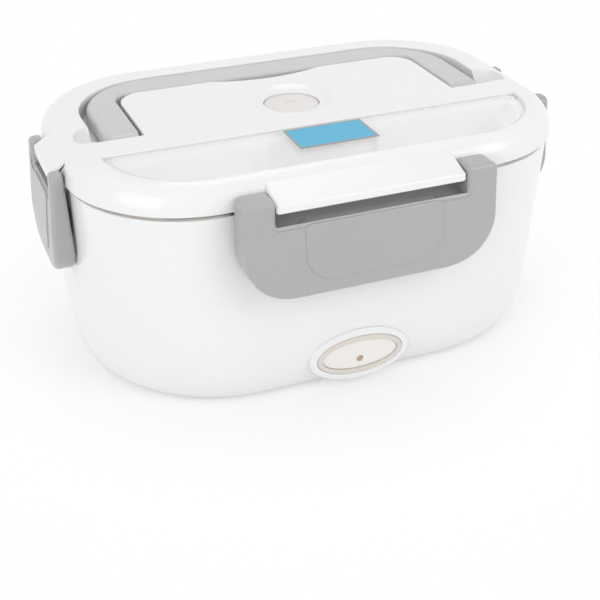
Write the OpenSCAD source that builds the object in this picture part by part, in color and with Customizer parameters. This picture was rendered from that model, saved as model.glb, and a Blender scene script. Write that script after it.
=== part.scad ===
// Electric lunch box with a lift-off lid held by four clip latches.
// The origin is on the surface that it stands on, under its centre. X runs along its length, Y to its back.

/* [Outline] */
// Length of the lid, without the latches
lid_l = 228; // [220:1:250]
// Width of the lid, without the latches
lid_w = 155; // [152:1:175]
// Corner radius of the lid seen from above
corner_r = 54; // [50:1:57]

/* [Body] */
// Height of the body's rim
body_h = 95; // [92:1:115]
// Wall thickness of the body
body_wall = 2.4; // [2:0.1:3]
// How far the body's side lies inside the lid's edge
rim_step = 1.5; // [1.2:0.1:2]
// Outward bow of the side at mid height
body_bow = 0.1; // [0:0.1:0.6]
// Width of the rounding between the side and the base
base_inset = 8.6; // [7:0.2:12]
// Height of the rounding between the side and the base
base_rise = 22.8; // [20:0.2:28]
// Corner radius that the base has more than the rim
base_round = 17.2; // [12:0.2:20]
// Height of the rubber feet below the base
foot_h = 1.2; // [0.8:0.1:2]
// Radius of a foot
foot_r = 6; // [5:0.5:8]
// Thickness of the bottom cover
cover_t = 1.8; // [1.6:0.1:2.2]
// Width of the base left round the bottom cover
cover_margin = 12; // [10:0.5:14]

/* [Pan and container] */
// Sheet thickness of the pan and the container
sheet = 0.8; // [0.6:0.1:1]
// Height of the pan's underside
pan_floor = 22; // [21:0.5:26]
// How far the pan's wall lies inside the lid's edge
pan_in = 7; // [6.5:0.5:9]
// How much the pan narrows towards its floor
pan_draft = 4; // [2:0.5:6]
// Radius between the pan's wall and floor
pan_fillet = 14; // [10:1:18]
// Gap between the pan and the container
nest_gap = 0.8; // [0.5:0.1:1.2]

/* [Heater] */
// Length of the heater plate
heater_l = 64; // [50:1:70]
// Width of the heater plate
heater_w = 44; // [30:1:50]
// Thickness of the heater plate
heater_t = 5; // [4:0.5:6]
// Distance from the middle to a clamp stud
stud_x = 40; // [38:1:46]

/* [Lid] */
// Height of the lid from its seam to its top
lid_h = 12.6; // [12.4:0.1:14]
// Wall thickness of the lid
lid_skin = 2.2; // [1.8:0.1:2.4]
// Width of the rounding along the lid's top edge
edge_inset = 9.7; // [8:0.1:11]
// Gap between the lid and the rim under it
seam_gap = 0.3; // [0.2:0.1:0.6]
// How far the liner reaches down into the container
liner_drop = 8.2; // [7:0.1:10]
// Gap between the liner and the container's wall
liner_play = 2.4; // [2:0.1:3]
// Thickness of the gasket
gasket_t = 1.2; // [0.8:0.1:1.4]

/* [Latches] */
// Height of the front and back latches
front_h = 46; // [42:1:50]
// Height of the side latches
side_h = 51.5; // [44:0.5:52]
// How far the front and back latches stand off the lid's edge
front_stand = 12.6; // [11:0.2:14]
// How far the side latches stand off the lid's edge
side_stand = 6.5; // [6.2:0.1:8]
// Half the width of the front and back latches
front_half = 57; // [50:1:60]
// Half the width of the side latches
side_half = 26; // [24:0.5:28]
// Place of the middle of the side latches along Y
side_y = -1.5; // [-4:0.5:0]
// Width of an ear of the front and back latches
front_ear_w = 14; // [11:0.5:15]
// Width of an ear of the side latches
side_ear_w = 8; // [7:0.5:9]
// How far the back latch hangs lower than the front one
back_drop = 2.6; // [2:0.1:3]
// How far the side latches hang lower than the front one
side_drop = 1.6; // [1:0.1:2]
// Wall thickness of a latch
latch_wall = 2.2; // [1.8:0.1:2.4]
// Radius of the lower corners of the front and back latches
front_corner_r = 29; // [20:1:30]
// Radius of the lower corners of the side latches
side_corner_r = 21; // [16:1:22]
// Radius of a latch's hinge stub
stub_r = 1.1; // [0.9:0.05:1.2]
// Radial play of the hinge stubs in their bores
stub_play = 0.05; // [0.03:0.01:0.08]
// How far the catch bars stand off the lid's edge
catch_reach = 2.2; // [1.8:0.1:2.6]
// How far the front latch's face swells below its ears
front_flare = 1.5; // [1:0.1:1.8]
// How far a side latch's face swells below its ears
side_flare = 1.9; // [1:0.1:2.2]

/* [Handle] */
// Distance from the lid's end to the handle's outer side
handle_in = 22; // [21.5:0.5:25]
// Distance from the lid's back edge to the handle
handle_back = 18.2; // [17:0.2:20]
// Width of a leg of the handle
leg_w = 15.6; // [13:0.2:16]
// Width of the handle's bar
bar_w = 18; // [15:0.5:19]
// Thickness of the handle
handle_t = 7.5; // [6.5:0.1:7.6]
// Outer corner radius of the handle
handle_r = 34; // [28:1:36]
// Place of the handle's hinge line along Y
pivot_y = -5; // [-7:0.5:-3]
// Radius of the handle's hinge stubs
pivot_r = 2.4; // [2:0.1:2.6]

/* [Tray] */
// Place of the tray's straight back edge along Y
tray_y = -30.6; // [-32:0.2:-29]
// Distance from the lid's front edge to the tray
tray_margin = 9; // [8.6:0.2:11]
// Thickness of the tray's cover
tray_cover_t = 1.7; // [1.4:0.1:2]
// Radius of the barrel along the cover's back edge
barrel_r = 2; // [1.8:0.1:2.1]
// Length of the label on the cover
label_l = 36.5; // [30:0.5:44]
// Width of the label on the cover
label_w = 21.5; // [16:0.5:24]

/* [Vent] */
// Place of the vent along Y
vent_y = 4.5; // [2:0.5:6]
// Radius of the dished well
well_r = 19.5; // [18:0.5:21]
// Depth of the dished well
well_depth = 4.2; // [3.4:0.1:4.4]
// Radius of the plug's disc
plug_r = 13; // [11:0.5:14]
// Radius of the plug's stem
stem_r = 3.92; // [3:0.01:4.5]

/* [Badge and inlet] */
// Height of the middle of the badge and of the inlet
badge_z = 15.8; // [15.5:0.1:17]
// Half the length of the badge
badge_a = 20.7; // [18:0.1:22]
// Half the height of the badge
badge_b = 9.4; // [8:0.1:9.6]
// Width of the badge's ring
ring_w = 2.4; // [2:0.1:3]
// Width of the boss round the badge
boss_w = 3.6; // [3:0.1:4]
// Distance between the two inlet pins
pin_pitch = 8.6; // [8.2:0.1:9]
// Radius of an inlet pin
pin_r = 1.18; // [1.1:0.01:1.25]
// Length of an inlet pin in its recess
pin_l = 8; // [7:0.5:9]

/* [Hidden] */
$fn = 64;
eps = 0.01;
seg = 10;

white = "#f2f2f4";
inner_white = "#e8e8ea";
grey = "#b4b4b6";
steel = "#c8c8cc";
dark = "#2b2b2e";

half_l = lid_l / 2;
half_w = lid_w / 2;

// Heights up the side
pan_rim = body_h + sheet;
box_rim = pan_rim + sheet;
skirt_z = box_rim + seam_gap;
top_z = skirt_z + lid_h;
edge_z = skirt_z + 0.5;
edge_drop = top_z - edge_z;
gasket_top = skirt_z + gasket_t;
liner_t = 1.6;
liner_flange = gasket_top + liner_t;
liner_floor = box_rim - liner_drop;
well_floor_t = 2;

// Insets of the nested walls from the lid's edge
body_in = rim_step;
pan_flange_in = body_in + 0.4;
box_flange_in = pan_flange_in + 0.4;
box_in = pan_in + sheet + nest_gap;
liner_in = box_in + sheet + liner_play;
liner_flange_in = lid_skin + 0.6;

// Rounded rectangle with half sizes a and b and corner radius r
function rounded(a, b, r, n = seg) = [
    for (q = [0:3]) for (i = [0:n])
        let (sx = (q == 0 || q == 3) ? 1 : -1, sy = q < 2 ? 1 : -1, t = 90 * (q + i / n))
            [sx * (a - r) + r * cos(t), sy * (b - r) + r * sin(t)]
];

// Outline with a straight front at y0 and round back corners
function bridge(a, y0, y1, r, n = seg) = concat(
    [[a, y0]],
    [for (i = [0:n]) [a - r + r * cos(90 * i / n), y1 - r + r * sin(90 * i / n)]],
    [for (i = [0:n]) [-a + r - r * sin(90 * i / n), y1 - r + r * cos(90 * i / n)]],
    [[-a, y0]]
);

// Half of a stadium: a straight back edge at y0 and two quarter rounds in front, with centres at (+-a, yc)
function half_stadium(a, y0, yc, r, n = 14) = concat(
    y0 > yc ? [[a + r, y0]] : [],
    [for (i = [0:n]) [a + r * cos(90 * i / n), yc - r * sin(90 * i / n)]],
    [for (i = [0:n]) [-a - r * sin(90 * i / n), yc - r * cos(90 * i / n)]],
    y0 > yc ? [[-a - r, y0]] : []
);

function ellipse(a, b, n = 48) = [for (i = [0:n - 1]) [a * cos(360 * i / n), b * sin(360 * i / n)]];

// Solid through a list of rounded rectangles, each [half length, half width, radius, height]
module loft(rings, ring_shaped = false) {
    m = 4 * (seg + 1);
    last = len(rings) - 1;
    points = [for (s = rings) for (p = rounded(s[0], s[1], s[2])) [p[0], p[1], s[3]]];
    sides = [
        for (i = [0:(ring_shaped ? last : last - 1)]) for (j = [0:m - 1])
            let (
                k = (i + 1) % (last + 1), next = (j + 1) % m,
                a = i * m + j, b = i * m + next, c = k * m + next, d = k * m + j
            ) each [[a, d, c], [a, c, b]]
    ];
    caps = ring_shaped ? [] : [[for (j = [0:m - 1]) j], [for (j = [m - 1:-1:0]) last * m + j]];
    polyhedron(points, concat(caps, sides), convexity = 8);
}

// A ring of the lid's outline, set in by an inset
function inset_ring(inset, z) = [half_l - inset, half_w - inset, corner_r - inset, z];

// Profile in the outward and upward directions, drawn along a side of the box that faces -Y
module along_side(length) {
    rotate([90, 0, -90]) linear_extrude(height = length, center = true) children();
}

// Front view outline, from the outward distance n0 to n1
module facing_side(n0, n1) {
    translate([0, -n0, 0]) rotate([90, 0, 0]) linear_extrude(height = n1 - n0) children();
}

// Places a child that is drawn for the front side on the side turned by an angle
module on_side(turn) {
    reach = (turn == 0 || turn == 180) ? half_w : half_l;
    rotate([0, 0, turn]) translate([0, -reach, 0]) children();
}

module along_x(r, length) {
    rotate([0, 90, 0]) cylinder(r = r, h = length, center = true);
}

// Body

side_n = 4;
fillet_n = 6;
body_base_r = min(corner_r - rim_step + base_round, half_w - rim_step - 1);

function body_t(z) = (body_h - z) / (body_h - foot_h);
function body_ring(z, inset) =
    let (t = body_t(z), side = body_in - 4 * body_bow * t * (1 - t) + inset, r0 = corner_r - rim_step)
        [half_l - side, half_w - side, r0 + (body_base_r - r0) * t - inset, z];
function body_side(z0, z1, inset, n) = [for (i = [0:n]) body_ring(z0 + (z1 - z0) * i / n, inset)];
function base_fillet(floor_z, inset) = [
    for (i = [fillet_n:-1:1])
        let (t = 90 * i / fillet_n, top = foot_h + base_rise)
            body_ring(floor_z + (top - floor_z) * (1 - sin(t)), inset + base_inset * (1 - cos(t)))
];
function reversed(list) = [for (i = [len(list) - 1:-1:0]) list[i]];

base_a = half_l - body_in - base_inset - cover_margin;
base_b = half_w - body_in - base_inset - cover_margin;
base_r = body_base_r - base_inset - cover_margin;
cover_play = 0.3;
cover_top = foot_h + cover_t;
ledge_w = 6;
ledge_t = 2;
ledge_out = 2.5;
screw_boss_r = 4.5;
screw_x = base_a - 29.5;
screw_y = base_b - 10;
screw_r = 1.45;
screw_head_r = 2.8;
screw_head_t = 1;
screw_l = 8.5;
screw_play = 0.05;
cross_l = 3.6;
cross_w = 0.6;
slot_half_w = 1.2;
slot_half_l = 12;
slot_pitch = 7;
foot_bevel = 0.4;
foot_sink = 0.5;
foot_x = base_a - 21.5;
foot_y = base_b - 25;

boss_a = badge_a + boss_w;
boss_b = badge_b + boss_w;
boss_face = half_w - 0.2;
boss_depth = 9;
badge_t = 2.8;
badge_play = 0.2;
ring_proud = 0.4;
window_play = 0.1;
window_sink = 0.2;
board_x = badge_a - 1;
board_z0 = badge_z - 4.6;
board_z1 = badge_z + 6;
board_t = 1.6;

catch_h = 2.6;
catch_z = skirt_z - 12.9;

module oval_boss(turn) {
    rotate([0, 0, turn]) translate([0, boss_depth - boss_face, badge_z])
        rotate([90, 0, 0]) linear_extrude(height = boss_depth) polygon(ellipse(boss_a, boss_b));
}

module oval_cut(turn, a, b, depth, from = 0) {
    rotate([0, 0, turn]) translate([0, from + depth - boss_face, badge_z])
        rotate([90, 0, 0]) linear_extrude(height = depth + (from == 0 ? 1 : 0)) polygon(ellipse(a, b));
}

module catch_bar(half) {
    translate([-half, -catch_reach, catch_z])
        cube([2 * half, catch_reach + body_in + body_wall / 2, catch_h]);
}

module screw_places() {
    for (x = [-screw_x, screw_x]) for (y = [-screw_y, screw_y]) translate([x, y, 0]) children();
}

module foot_places() {
    for (x = [-foot_x, foot_x]) for (y = [-foot_y, foot_y]) translate([x, y, 0]) children();
}

module body_shell() {
    inner_floor = foot_h + body_wall;
    side_z = foot_h + base_rise;
    outer = concat(base_fillet(foot_h, 0), body_side(side_z, body_h, 0, side_n));
    inner = concat(base_fillet(inner_floor, body_wall), body_side(side_z, body_h, body_wall, side_n));
    color(white) difference() {
        union() {
            loft(concat(outer, reversed(inner)));
            oval_boss(0);
            oval_boss(180);
            on_side(0) catch_bar(front_catch);
            translate([0, 0, -back_drop]) on_side(180) catch_bar(front_catch);
            for (turn = [-90, 90]) translate([0, side_y, -side_drop]) on_side(turn) catch_bar(side_catch);
            translate([0, 0, cover_top]) linear_extrude(height = ledge_t)
                difference() {
                    polygon(rounded(base_a + ledge_out, base_b + ledge_out, base_r + ledge_out));
                    polygon(rounded(base_a - ledge_w, base_b - ledge_w, base_r - ledge_w));
                }
            screw_places() translate([0, 0, cover_top]) cylinder(r = screw_boss_r, h = screw_l + ledge_t);
        }
        translate([0, 0, foot_h - 1]) linear_extrude(height = cover_t + 1)
            polygon(rounded(base_a + cover_play, base_b + cover_play, base_r + cover_play));
        screw_places() translate([0, 0, cover_top - 1]) cylinder(r = screw_r + screw_play, h = screw_l + 1);
        oval_cut(0, badge_a + badge_play, badge_b + badge_play, badge_t);
        oval_cut(0, badge_a - ring_w, badge_b - ring_w, boss_depth + 1);
        oval_cut(180, badge_a + badge_play, badge_b + badge_play, inlet_flange_t);
        translate([0, boss_face - inlet_depth / 2, badge_z])
            cube([inlet_w + 0.4, inlet_depth + 2, inlet_h + 0.4], center = true);
        for (x = [-inlet_screw_x, inlet_screw_x])
            translate([x, boss_face + 1, badge_z]) rotate([90, 0, 0])
                cylinder(r = inlet_screw_r + screw_play, h = boss_depth - 1.5);
    }
}

module bottom_cover() {
    color(inner_white) difference() {
        translate([0, 0, foot_h]) linear_extrude(height = cover_t) polygon(rounded(base_a, base_b, base_r));
        screw_places() {
            translate([0, 0, foot_h - 1]) cylinder(r = screw_head_r + 0.3, h = screw_head_t + 1);
            translate([0, 0, foot_h - 1]) cylinder(r = screw_r + 0.25, h = cover_t + 2);
        }
        foot_places() translate([0, 0, foot_h - 1]) cylinder(r = foot_r + 0.1, h = foot_sink + 1);
        for (i = [-3:3]) translate([i * slot_pitch, 0, foot_h - 1]) linear_extrude(height = cover_t + 2)
            polygon(rounded(slot_half_w, slot_half_l, slot_half_w - eps, 4));
    }
}

module feet() {
    color("#d9d9da") foot_places() {
        cylinder(r1 = foot_r - foot_bevel, r2 = foot_r, h = foot_bevel);
        translate([0, 0, foot_bevel]) cylinder(r = foot_r, h = foot_h + foot_sink - foot_bevel);
    }
}

module cover_screws() {
    color(steel) screw_places() {
        difference() {
            translate([0, 0, foot_h + 0.1]) cylinder(r = screw_head_r, h = screw_head_t - 0.1);
            for (turn = [0, 90]) rotate([0, 0, turn]) translate([0, 0, foot_h + cross_w / 2])
                cube([cross_l, cross_w, cross_w], center = true);
        }
        translate([0, 0, foot_h + screw_head_t - eps]) cylinder(r = screw_r, h = screw_l);
    }
}

// Pan, heater and container

function pan_ring(z, inset) =
    let (drop = pan_draft * (body_h - z) / (body_h - pan_floor)) inset_ring(pan_in + drop + inset, z);
function pan_side(floor_z, top, inset) = concat(
    [for (i = [fillet_n:-1:0])
        let (t = 90 * i / fillet_n, r = pan_fillet - inset)
            pan_ring(floor_z + r * (1 - sin(t)), inset + r * (1 - cos(t)))],
    [pan_ring(top, inset)]
);

stud_r = 2;
floor_gap = 0.4;
stud_play = 0.05;
bar_t = 1.5;
bar_bottom = pan_floor - heater_t - bar_t;
nut_t = 3;
nut_r = 4;
bar_half_w = 6;
heater_r = 3;
pocket_l = 8;
pocket_w = 6;
pocket_h = 2;

module heating_pan() {
    color(steel) union() {
        loft(concat(
            pan_side(pan_floor, body_h, 0),
            [inset_ring(pan_flange_in, body_h), inset_ring(pan_flange_in, pan_rim)],
            reversed(pan_side(pan_floor + sheet, pan_rim, sheet))
        ));
        for (x = [-stud_x, stud_x]) translate([x, 0, bar_bottom - nut_t - 1])
            cylinder(r = stud_r, h = heater_t + bar_t + nut_t + 1 + sheet / 2);
    }
}

module heater_plate() {
    color("#9a9c9f") difference() {
        translate([0, 0, pan_floor - heater_t]) linear_extrude(height = heater_t)
            polygon(rounded(heater_l / 2, heater_w / 2, heater_r, 4));
        for (y = [-heater_w / 4, heater_w / 4])
            translate([-heater_l / 2 - 1, y - pocket_w / 2, pan_floor - heater_t / 2 - pocket_h / 2])
                cube([pocket_l + 1, pocket_w, pocket_h]);
    }
}

module clamp_bar() {
    color(steel) translate([0, 0, bar_bottom]) linear_extrude(height = bar_t) difference() {
        polygon(rounded(stud_x + bar_half_w, bar_half_w, bar_half_w - eps, 6));
        for (x = [-stud_x, stud_x]) translate([x, 0]) circle(r = stud_r + stud_play);
    }
}

module clamp_nuts() {
    color("#b9a36a") for (x = [-stud_x, stud_x]) translate([x, 0, bar_bottom - nut_t]) difference() {
        cylinder(r = nut_r, h = nut_t, $fn = 6);
        translate([0, 0, -1]) cylinder(r = stud_r + stud_play, h = nut_t + 2);
    }
}

thermostat_r = 8;
thermostat_h = 7;
thermostat_rim = 1.5;
tag_l = 5;
tag_w = 4;
tag_t = 0.8;
tag_x = 4;

module thermostat() {
    color(dark) translate([0, -heater_w / 2 - thermostat_r - tag_w, pan_floor]) {
        translate([0, 0, -thermostat_rim]) cylinder(r = thermostat_r, h = thermostat_rim);
        translate([0, 0, -thermostat_h])
            cylinder(r = thermostat_r - 1, h = thermostat_h - thermostat_rim + 0.1);
        for (x = [-tag_x, tag_x]) translate([x - tag_t / 2, -tag_w / 2, -thermostat_h - tag_l])
            cube([tag_t, tag_w, tag_l + 0.1]);
    }
}

fuse_l = 16;
fuse_w = 7;
fuse_h = 4;
fuse_lead_l = 5;
fuse_lead_w = 1;

module thermal_fuse() {
    color("#d8d2c0") translate([0, heater_w / 2 + fuse_l / 2, pan_floor - fuse_h]) {
        linear_extrude(height = fuse_h) polygon(rounded(fuse_l / 2, fuse_w / 2, 1.2, 4));
        for (s = [-1, 1]) translate([s * (fuse_l + fuse_lead_l - 0.1) / 2, 0, fuse_h / 2])
            cube([fuse_lead_l, fuse_lead_w, fuse_lead_w], center = true);
    }
}

module food_container() {
    box_floor = pan_floor + sheet + floor_gap;
    outer = sheet + nest_gap;
    color(steel) loft(concat(
        pan_side(box_floor, pan_rim, outer),
        [inset_ring(box_flange_in, pan_rim), inset_ring(box_flange_in, box_rim)],
        reversed(pan_side(box_floor + sheet, box_rim, outer + sheet))
    ));
}

// Indicator

led_z = badge_z - 2.4;
led_r = 1.5;
board_y = boss_face - boss_depth;

module led_board() {
    color("#3f6b4a") translate([-board_x, -board_y, board_z0])
        cube([2 * board_x, board_t, board_z1 - board_z0]);
}

module led() {
    color("#e9ddc8") translate([0, -board_y, led_z]) rotate([90, 0, 0]) {
        cylinder(r = led_r + 0.4, h = 1);
        cylinder(r = led_r, h = boss_depth - 1.4);
    }
}

// Oval plate from a depth under the boss's face to a height above it
module oval_plate(a, b, depth, proud) {
    translate([0, depth - boss_face, badge_z]) rotate([90, 0, 0]) linear_extrude(height = depth + proud)
        polygon(ellipse(a, b));
}

module badge_ring() {
    color("#d8cdbb") difference() {
        oval_plate(badge_a, badge_b, badge_t - eps, ring_proud);
        oval_plate(badge_a - ring_w, badge_b - ring_w, badge_t + 1, ring_proud + 1);
    }
}

module badge_window() {
    color("#efeeea") difference() {
        oval_plate(badge_a - ring_w - window_play, badge_b - ring_w - window_play, badge_t, -window_sink);
        translate([0, boss_depth - boss_face, led_z]) rotate([90, 0, 0])
            cylinder(r = led_r + badge_play, h = boss_depth + ring_proud);
    }
}

// Inlet

inlet_flange_t = 1.6;
inlet_w = 21;
inlet_h = 12.6;
inlet_depth = 15;
inlet_hole_h = 8.6;
inlet_hole_w = pin_pitch + 6;
inlet_hole_depth = 11;
inlet_screw_x = 15.6;
inlet_screw_r = 1.1;
inlet_head_r = 2.1;
inlet_head_t = 0.8;
inlet_screw_l = 6;
inlet_cross_l = 2.6;
inlet_cross_w = 0.5;
root_r = pin_r + 0.5;
root_l = 3.4;
root_play = 0.02;
inlet_y = boss_face - inlet_hole_depth;

module inlet_housing() {
    color(dark) difference() {
        union() {
            rotate([0, 0, 180]) translate([0, inlet_flange_t - boss_face, badge_z]) rotate([90, 0, 0])
                linear_extrude(height = inlet_flange_t) polygon(ellipse(badge_a, badge_b));
            translate([0, boss_face - inlet_depth / 2 - 0.2, badge_z])
                cube([inlet_w, inlet_depth - 0.4, inlet_h], center = true);
        }
        translate([0, boss_face + 1, badge_z]) rotate([90, 0, 0])
            linear_extrude(height = inlet_hole_depth + 1)
                polygon(rounded(inlet_hole_w / 2, inlet_hole_h / 2, inlet_hole_h / 2 - 0.2, 8));
        for (x = [-pin_pitch / 2, pin_pitch / 2]) translate([x, boss_face, badge_z]) rotate([90, 0, 0])
            cylinder(r = root_r + root_play, h = inlet_depth + 1);
        for (x = [-inlet_screw_x, inlet_screw_x]) translate([x, boss_face + 1, badge_z]) rotate([90, 0, 0])
            cylinder(r = inlet_screw_r + 0.15, h = inlet_flange_t + 2);
    }
}

module inlet_pins() {
    color("#c9b37e") for (s = [-1, 1]) translate([s * pin_pitch / 2, inlet_y, badge_z]) rotate([90, 0, 0]) {
        translate([0, 0, -pin_l]) cylinder(r = pin_r, h = pin_l + eps);
        cylinder(r = root_r, h = root_l);
        cylinder(r = pin_r, h = root_l + 4);
    }
}

module inlet_screws() {
    color(steel) for (s = [-1, 1]) translate([s * inlet_screw_x, boss_face, badge_z]) rotate([90, 0, 0]) {
        translate([0, 0, -inlet_head_t]) difference() {
            cylinder(r = inlet_head_r, h = inlet_head_t);
            for (turn = [0, 90]) rotate([0, 0, turn])
                cube([inlet_cross_l, inlet_cross_w, inlet_head_t], center = true);
        }
        translate([0, 0, -eps]) cylinder(r = inlet_screw_r, h = inlet_screw_l);
    }
}

// Hinge line and profile of a latch, in outward and upward coordinates

latch_gap = 0.6;
panel_t = 0.5;
side_back = latch_gap + rim_step - body_bow - 0.3;
ear_top = top_z - 4.9;
ledge_z = ear_top - 11.1;
front_inner = front_half - front_ear_w;
side_inner = side_half - side_ear_w;
side_panel = side_half - 12;
front_panel = front_half - 26;
front_catch = front_inner - 6;
side_catch = side_inner - 4;
stub_l = 3;
ear_play = 0.4;
panel_rise = 7.8;
panel_round = 14;
pocket_clear = 1.6;
mouth_play = 1.5;
shelf_h = 3.7;
catch_play = 0.3;

function ear_r(stand) = min(4.2, (stand - latch_gap) / 2);
function hinge_n(stand) = (stand + latch_gap) / 2;
function hinge_z(stand) = ear_top - ear_r(stand);

module latch_profile(stand, low, back, flare) {
    r = ear_r(stand);
    front_r = min(2.4, r);
    belly = stand + flare;
    polygon([
        [latch_gap, ear_top - r], [latch_gap, ledge_z - 3],
        [latch_gap - back, low + 12], [latch_gap - back, low],
        [belly - 3.1, low], [belly - 1.1, low + 0.7], [belly - 0.3, low + 2.2], [belly, low + 9],
        [belly, low + 20], [stand + 0.6 * flare, ledge_z - 5], [stand, ledge_z + 3], [stand, ear_top - r]
    ]);
    translate([latch_gap + r, ear_top - r]) circle(r = r);
    if (stand - latch_gap > 2 * r) {
        translate([stand - front_r, ear_top - front_r]) circle(r = front_r);
        translate([latch_gap + r, ear_top - r - 1]) square([stand - latch_gap - r - front_r, r + 1]);
        translate([latch_gap + r, ear_top - r - 1]) square([stand - latch_gap - r, r + 1 - front_r]);
    }
}

// Front view of a latch with large lower and small upper corner rounds
function latch_outline(half, z0, z1, low_r, top_r, n = 10) = concat(
    [for (i = [0:n]) [half - low_r + low_r * sin(90 * i / n), z0 + low_r - low_r * cos(90 * i / n)]],
    [for (i = [0:n]) [half - top_r + top_r * cos(90 * i / n), z1 - top_r + top_r * sin(90 * i / n)]],
    [for (i = [0:n]) [-half + top_r - top_r * sin(90 * i / n), z1 - top_r + top_r * cos(90 * i / n)]],
    [for (i = [0:n]) [-half + low_r - low_r * cos(90 * i / n), z0 + low_r - low_r * sin(90 * i / n)]]
);

module latch(stand, half, inner, low, corner, panel_half, catch_half, back, flare) {
    n_h = hinge_n(stand);
    z_h = hinge_z(stand);
    groove_r = sqrt(pow(stand - n_h, 2) + pow(z_h - ledge_z, 2));
    panel_r = min(panel_round, panel_half - 1);
    pocket_top = catch_z + catch_h + pocket_clear;
    pocket_r = min(corner, pocket_top - low - pocket_clear) - latch_wall;
    mouth = catch_half + mouth_play;
    past = max(0, mouth - half + corner);
    mouth_h = corner - sqrt(pow(corner - latch_wall, 2) - past * past) + 1;
    color(grey) difference() {
        union() {
            difference() {
                union() {
                    intersection() {
                        along_side(2 * half) latch_profile(stand, low, back, flare);
                        facing_side(-back, stand + 4) polygon(latch_outline(half, low, ear_top, corner, 3.5));
                    }
                    intersection() {
                        along_side(2 * panel_half + 2) translate([panel_t, 0])
                            latch_profile(stand, low, 0, flare);
                        facing_side(stand / 2, stand + 4)
                            polygon(latch_outline(panel_half, low + panel_rise, ledge_z - 1.2, panel_r, 3));
                    }
                }
                facing_side(-back - 1, stand - latch_wall)
                    polygon(latch_outline(half - latch_wall, low + latch_wall, pocket_top, pocket_r, 0.8));
                translate([-mouth, -catch_reach - 0.6, low - 1])
                    cube([2 * mouth, catch_reach + back + 1, mouth_h + 1]);
            }
            translate([-catch_half, latch_wall / 2 - stand, catch_z - catch_play - shelf_h])
                cube([2 * catch_half, stand - latch_wall / 2 - latch_gap, shelf_h]);
        }
        translate([0, -n_h, z_h]) along_x(groove_r, 2 * inner);
        translate([-inner, -stand - 3, ledge_z]) cube([2 * inner, stand + 4, 20]);
    }
    color(grey) for (s = [-1, 1]) translate([s * (inner - stub_l / 2 + 0.5), -n_h, z_h])
        along_x(stub_r, stub_l + 1);
}

module wide_latch() {
    latch(
        front_stand, front_half, front_inner, ear_top - front_h, front_corner_r,
        front_panel, front_catch, 0, front_flare
    );
}

module side_latch() {
    latch(
        side_stand, side_half, side_inner, ear_top - side_h, side_corner_r,
        side_panel, side_catch, side_back, side_flare
    );
}

module latch_front() {
    on_side(0) wide_latch();
}

module latch_back() {
    translate([0, 0, -back_drop]) on_side(180) wide_latch();
}

module latch_left() {
    translate([0, side_y, -side_drop]) on_side(-90) side_latch();
}

module latch_right() {
    translate([0, side_y, -side_drop]) on_side(90) side_latch();
}

// Tab of the lid that a latch hangs on
module latch_tab(stand, ear_inner, drop = 0) {
    inner = ear_inner - ear_play;
    n_h = hinge_n(stand);
    z_h = hinge_z(stand) - drop;
    reach = stand - 1.2;
    low = skirt_z + 1.2;
    face = z_h + 1.3;
    difference() {
        intersection() {
            along_side(2 * inner) polygon([
                [-1.8, low], [1, low - drop], [reach - 0.6, low - drop], [reach, low - drop + 0.6],
                [reach, face - 0.5], [reach - 0.8, face + 0.4], [-3.2, top_z - 3.3], [-4.4, top_z - 4],
                [-1.8, top_z - 8.5]
            ]);
            rotate([0, 0, 180]) linear_extrude(height = top_z)
                polygon(bridge(inner, -10, reach, 0.22 * reach));
        }
        for (s = [-1, 1]) translate([s * inner, -n_h, z_h]) along_x(stub_r + stub_play, 2 * stub_l + 1);
    }
}

// Lid

handle_a = half_l - handle_in;
handle_y = half_w - handle_back;
handle_bottom = top_z - 0.1 - handle_t;
channel_side = 4;
channel_back = 0.7;
channel_r = 40;
leg_gap = 1.2;
bar_gap = 0.8;
channel_floor = handle_bottom - 0.4;
island_a = handle_a - leg_w - leg_gap;
island_y = handle_y - bar_w - bar_gap;
knuckle_r = handle_t - 0.1;
pivot_z = top_z - 0.1 - knuckle_r;
pivot_l = 5;
handle_inner_r = 8.5;
island_r = 12;
pivot_boss_r = pivot_r + 2.6;
well_front = pivot_y - knuckle_r - 0.5;
finger_r = 74;
finger_depth = 5.5;
scoop_r = 11;
scoop_z = top_z + 0.5;
scoop_y = pivot_y - 1;

cover_drop = 0.3;
tray_a = half_l - corner_r;
tray_r = half_w - tray_margin + tray_y;
tray_seat = top_z - cover_drop - tray_cover_t - 0.1;
tray_step = liner_flange + well_floor_t;
tray_floor = liner_floor + liner_t + well_floor_t;
barrel_y = tray_y - barrel_r - 0.1;
barrel_z = top_z - cover_drop - barrel_r;
barrel_l = 2 * (tray_a + tray_r - 4);
cover_stub_r = 1.2;
cover_stub_l = 6;
label_t = 0.2;
cover_gap = 0.4;
ledge_back = 2.5;
well_in = 9;
post_x = 28;
post_w = 4.2;
post_l = 3.4;
post_top = barrel_z - barrel_r - 0.5;

plug_seat = top_z - 4.6;
bore_r = stem_r + 0.08;

// Outline of the tray, moved outwards at its front and ends and at its back
module tray_shape(front, back) {
    shift = min(back, 0);
    polygon(half_stadium(tray_a, tray_y + back, tray_y + shift, tray_r + front + shift));
}

module channel_shape(grow) {
    difference() {
        polygon(bridge(
            handle_a + channel_side + grow, well_front - grow, handle_y + channel_back + grow, channel_r + grow
        ));
        difference() {
            polygon(bridge(island_a - grow, well_front - grow - 1, island_y - grow, island_r));
            translate([0, island_y - grow + finger_r - finger_depth]) circle(r = finger_r, $fn = 180);
        }
    }
}

module knuckle_well(grow) {
    for (s = [-1, 1]) scale([s, 1, 1])
        translate([island_a - grow, well_front - grow, pivot_z - knuckle_r - 0.6 - grow])
            cube([handle_a + channel_side - island_a + 2 * grow, 2 * knuckle_r + 3 + 2 * grow, 30]);
}

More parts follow.
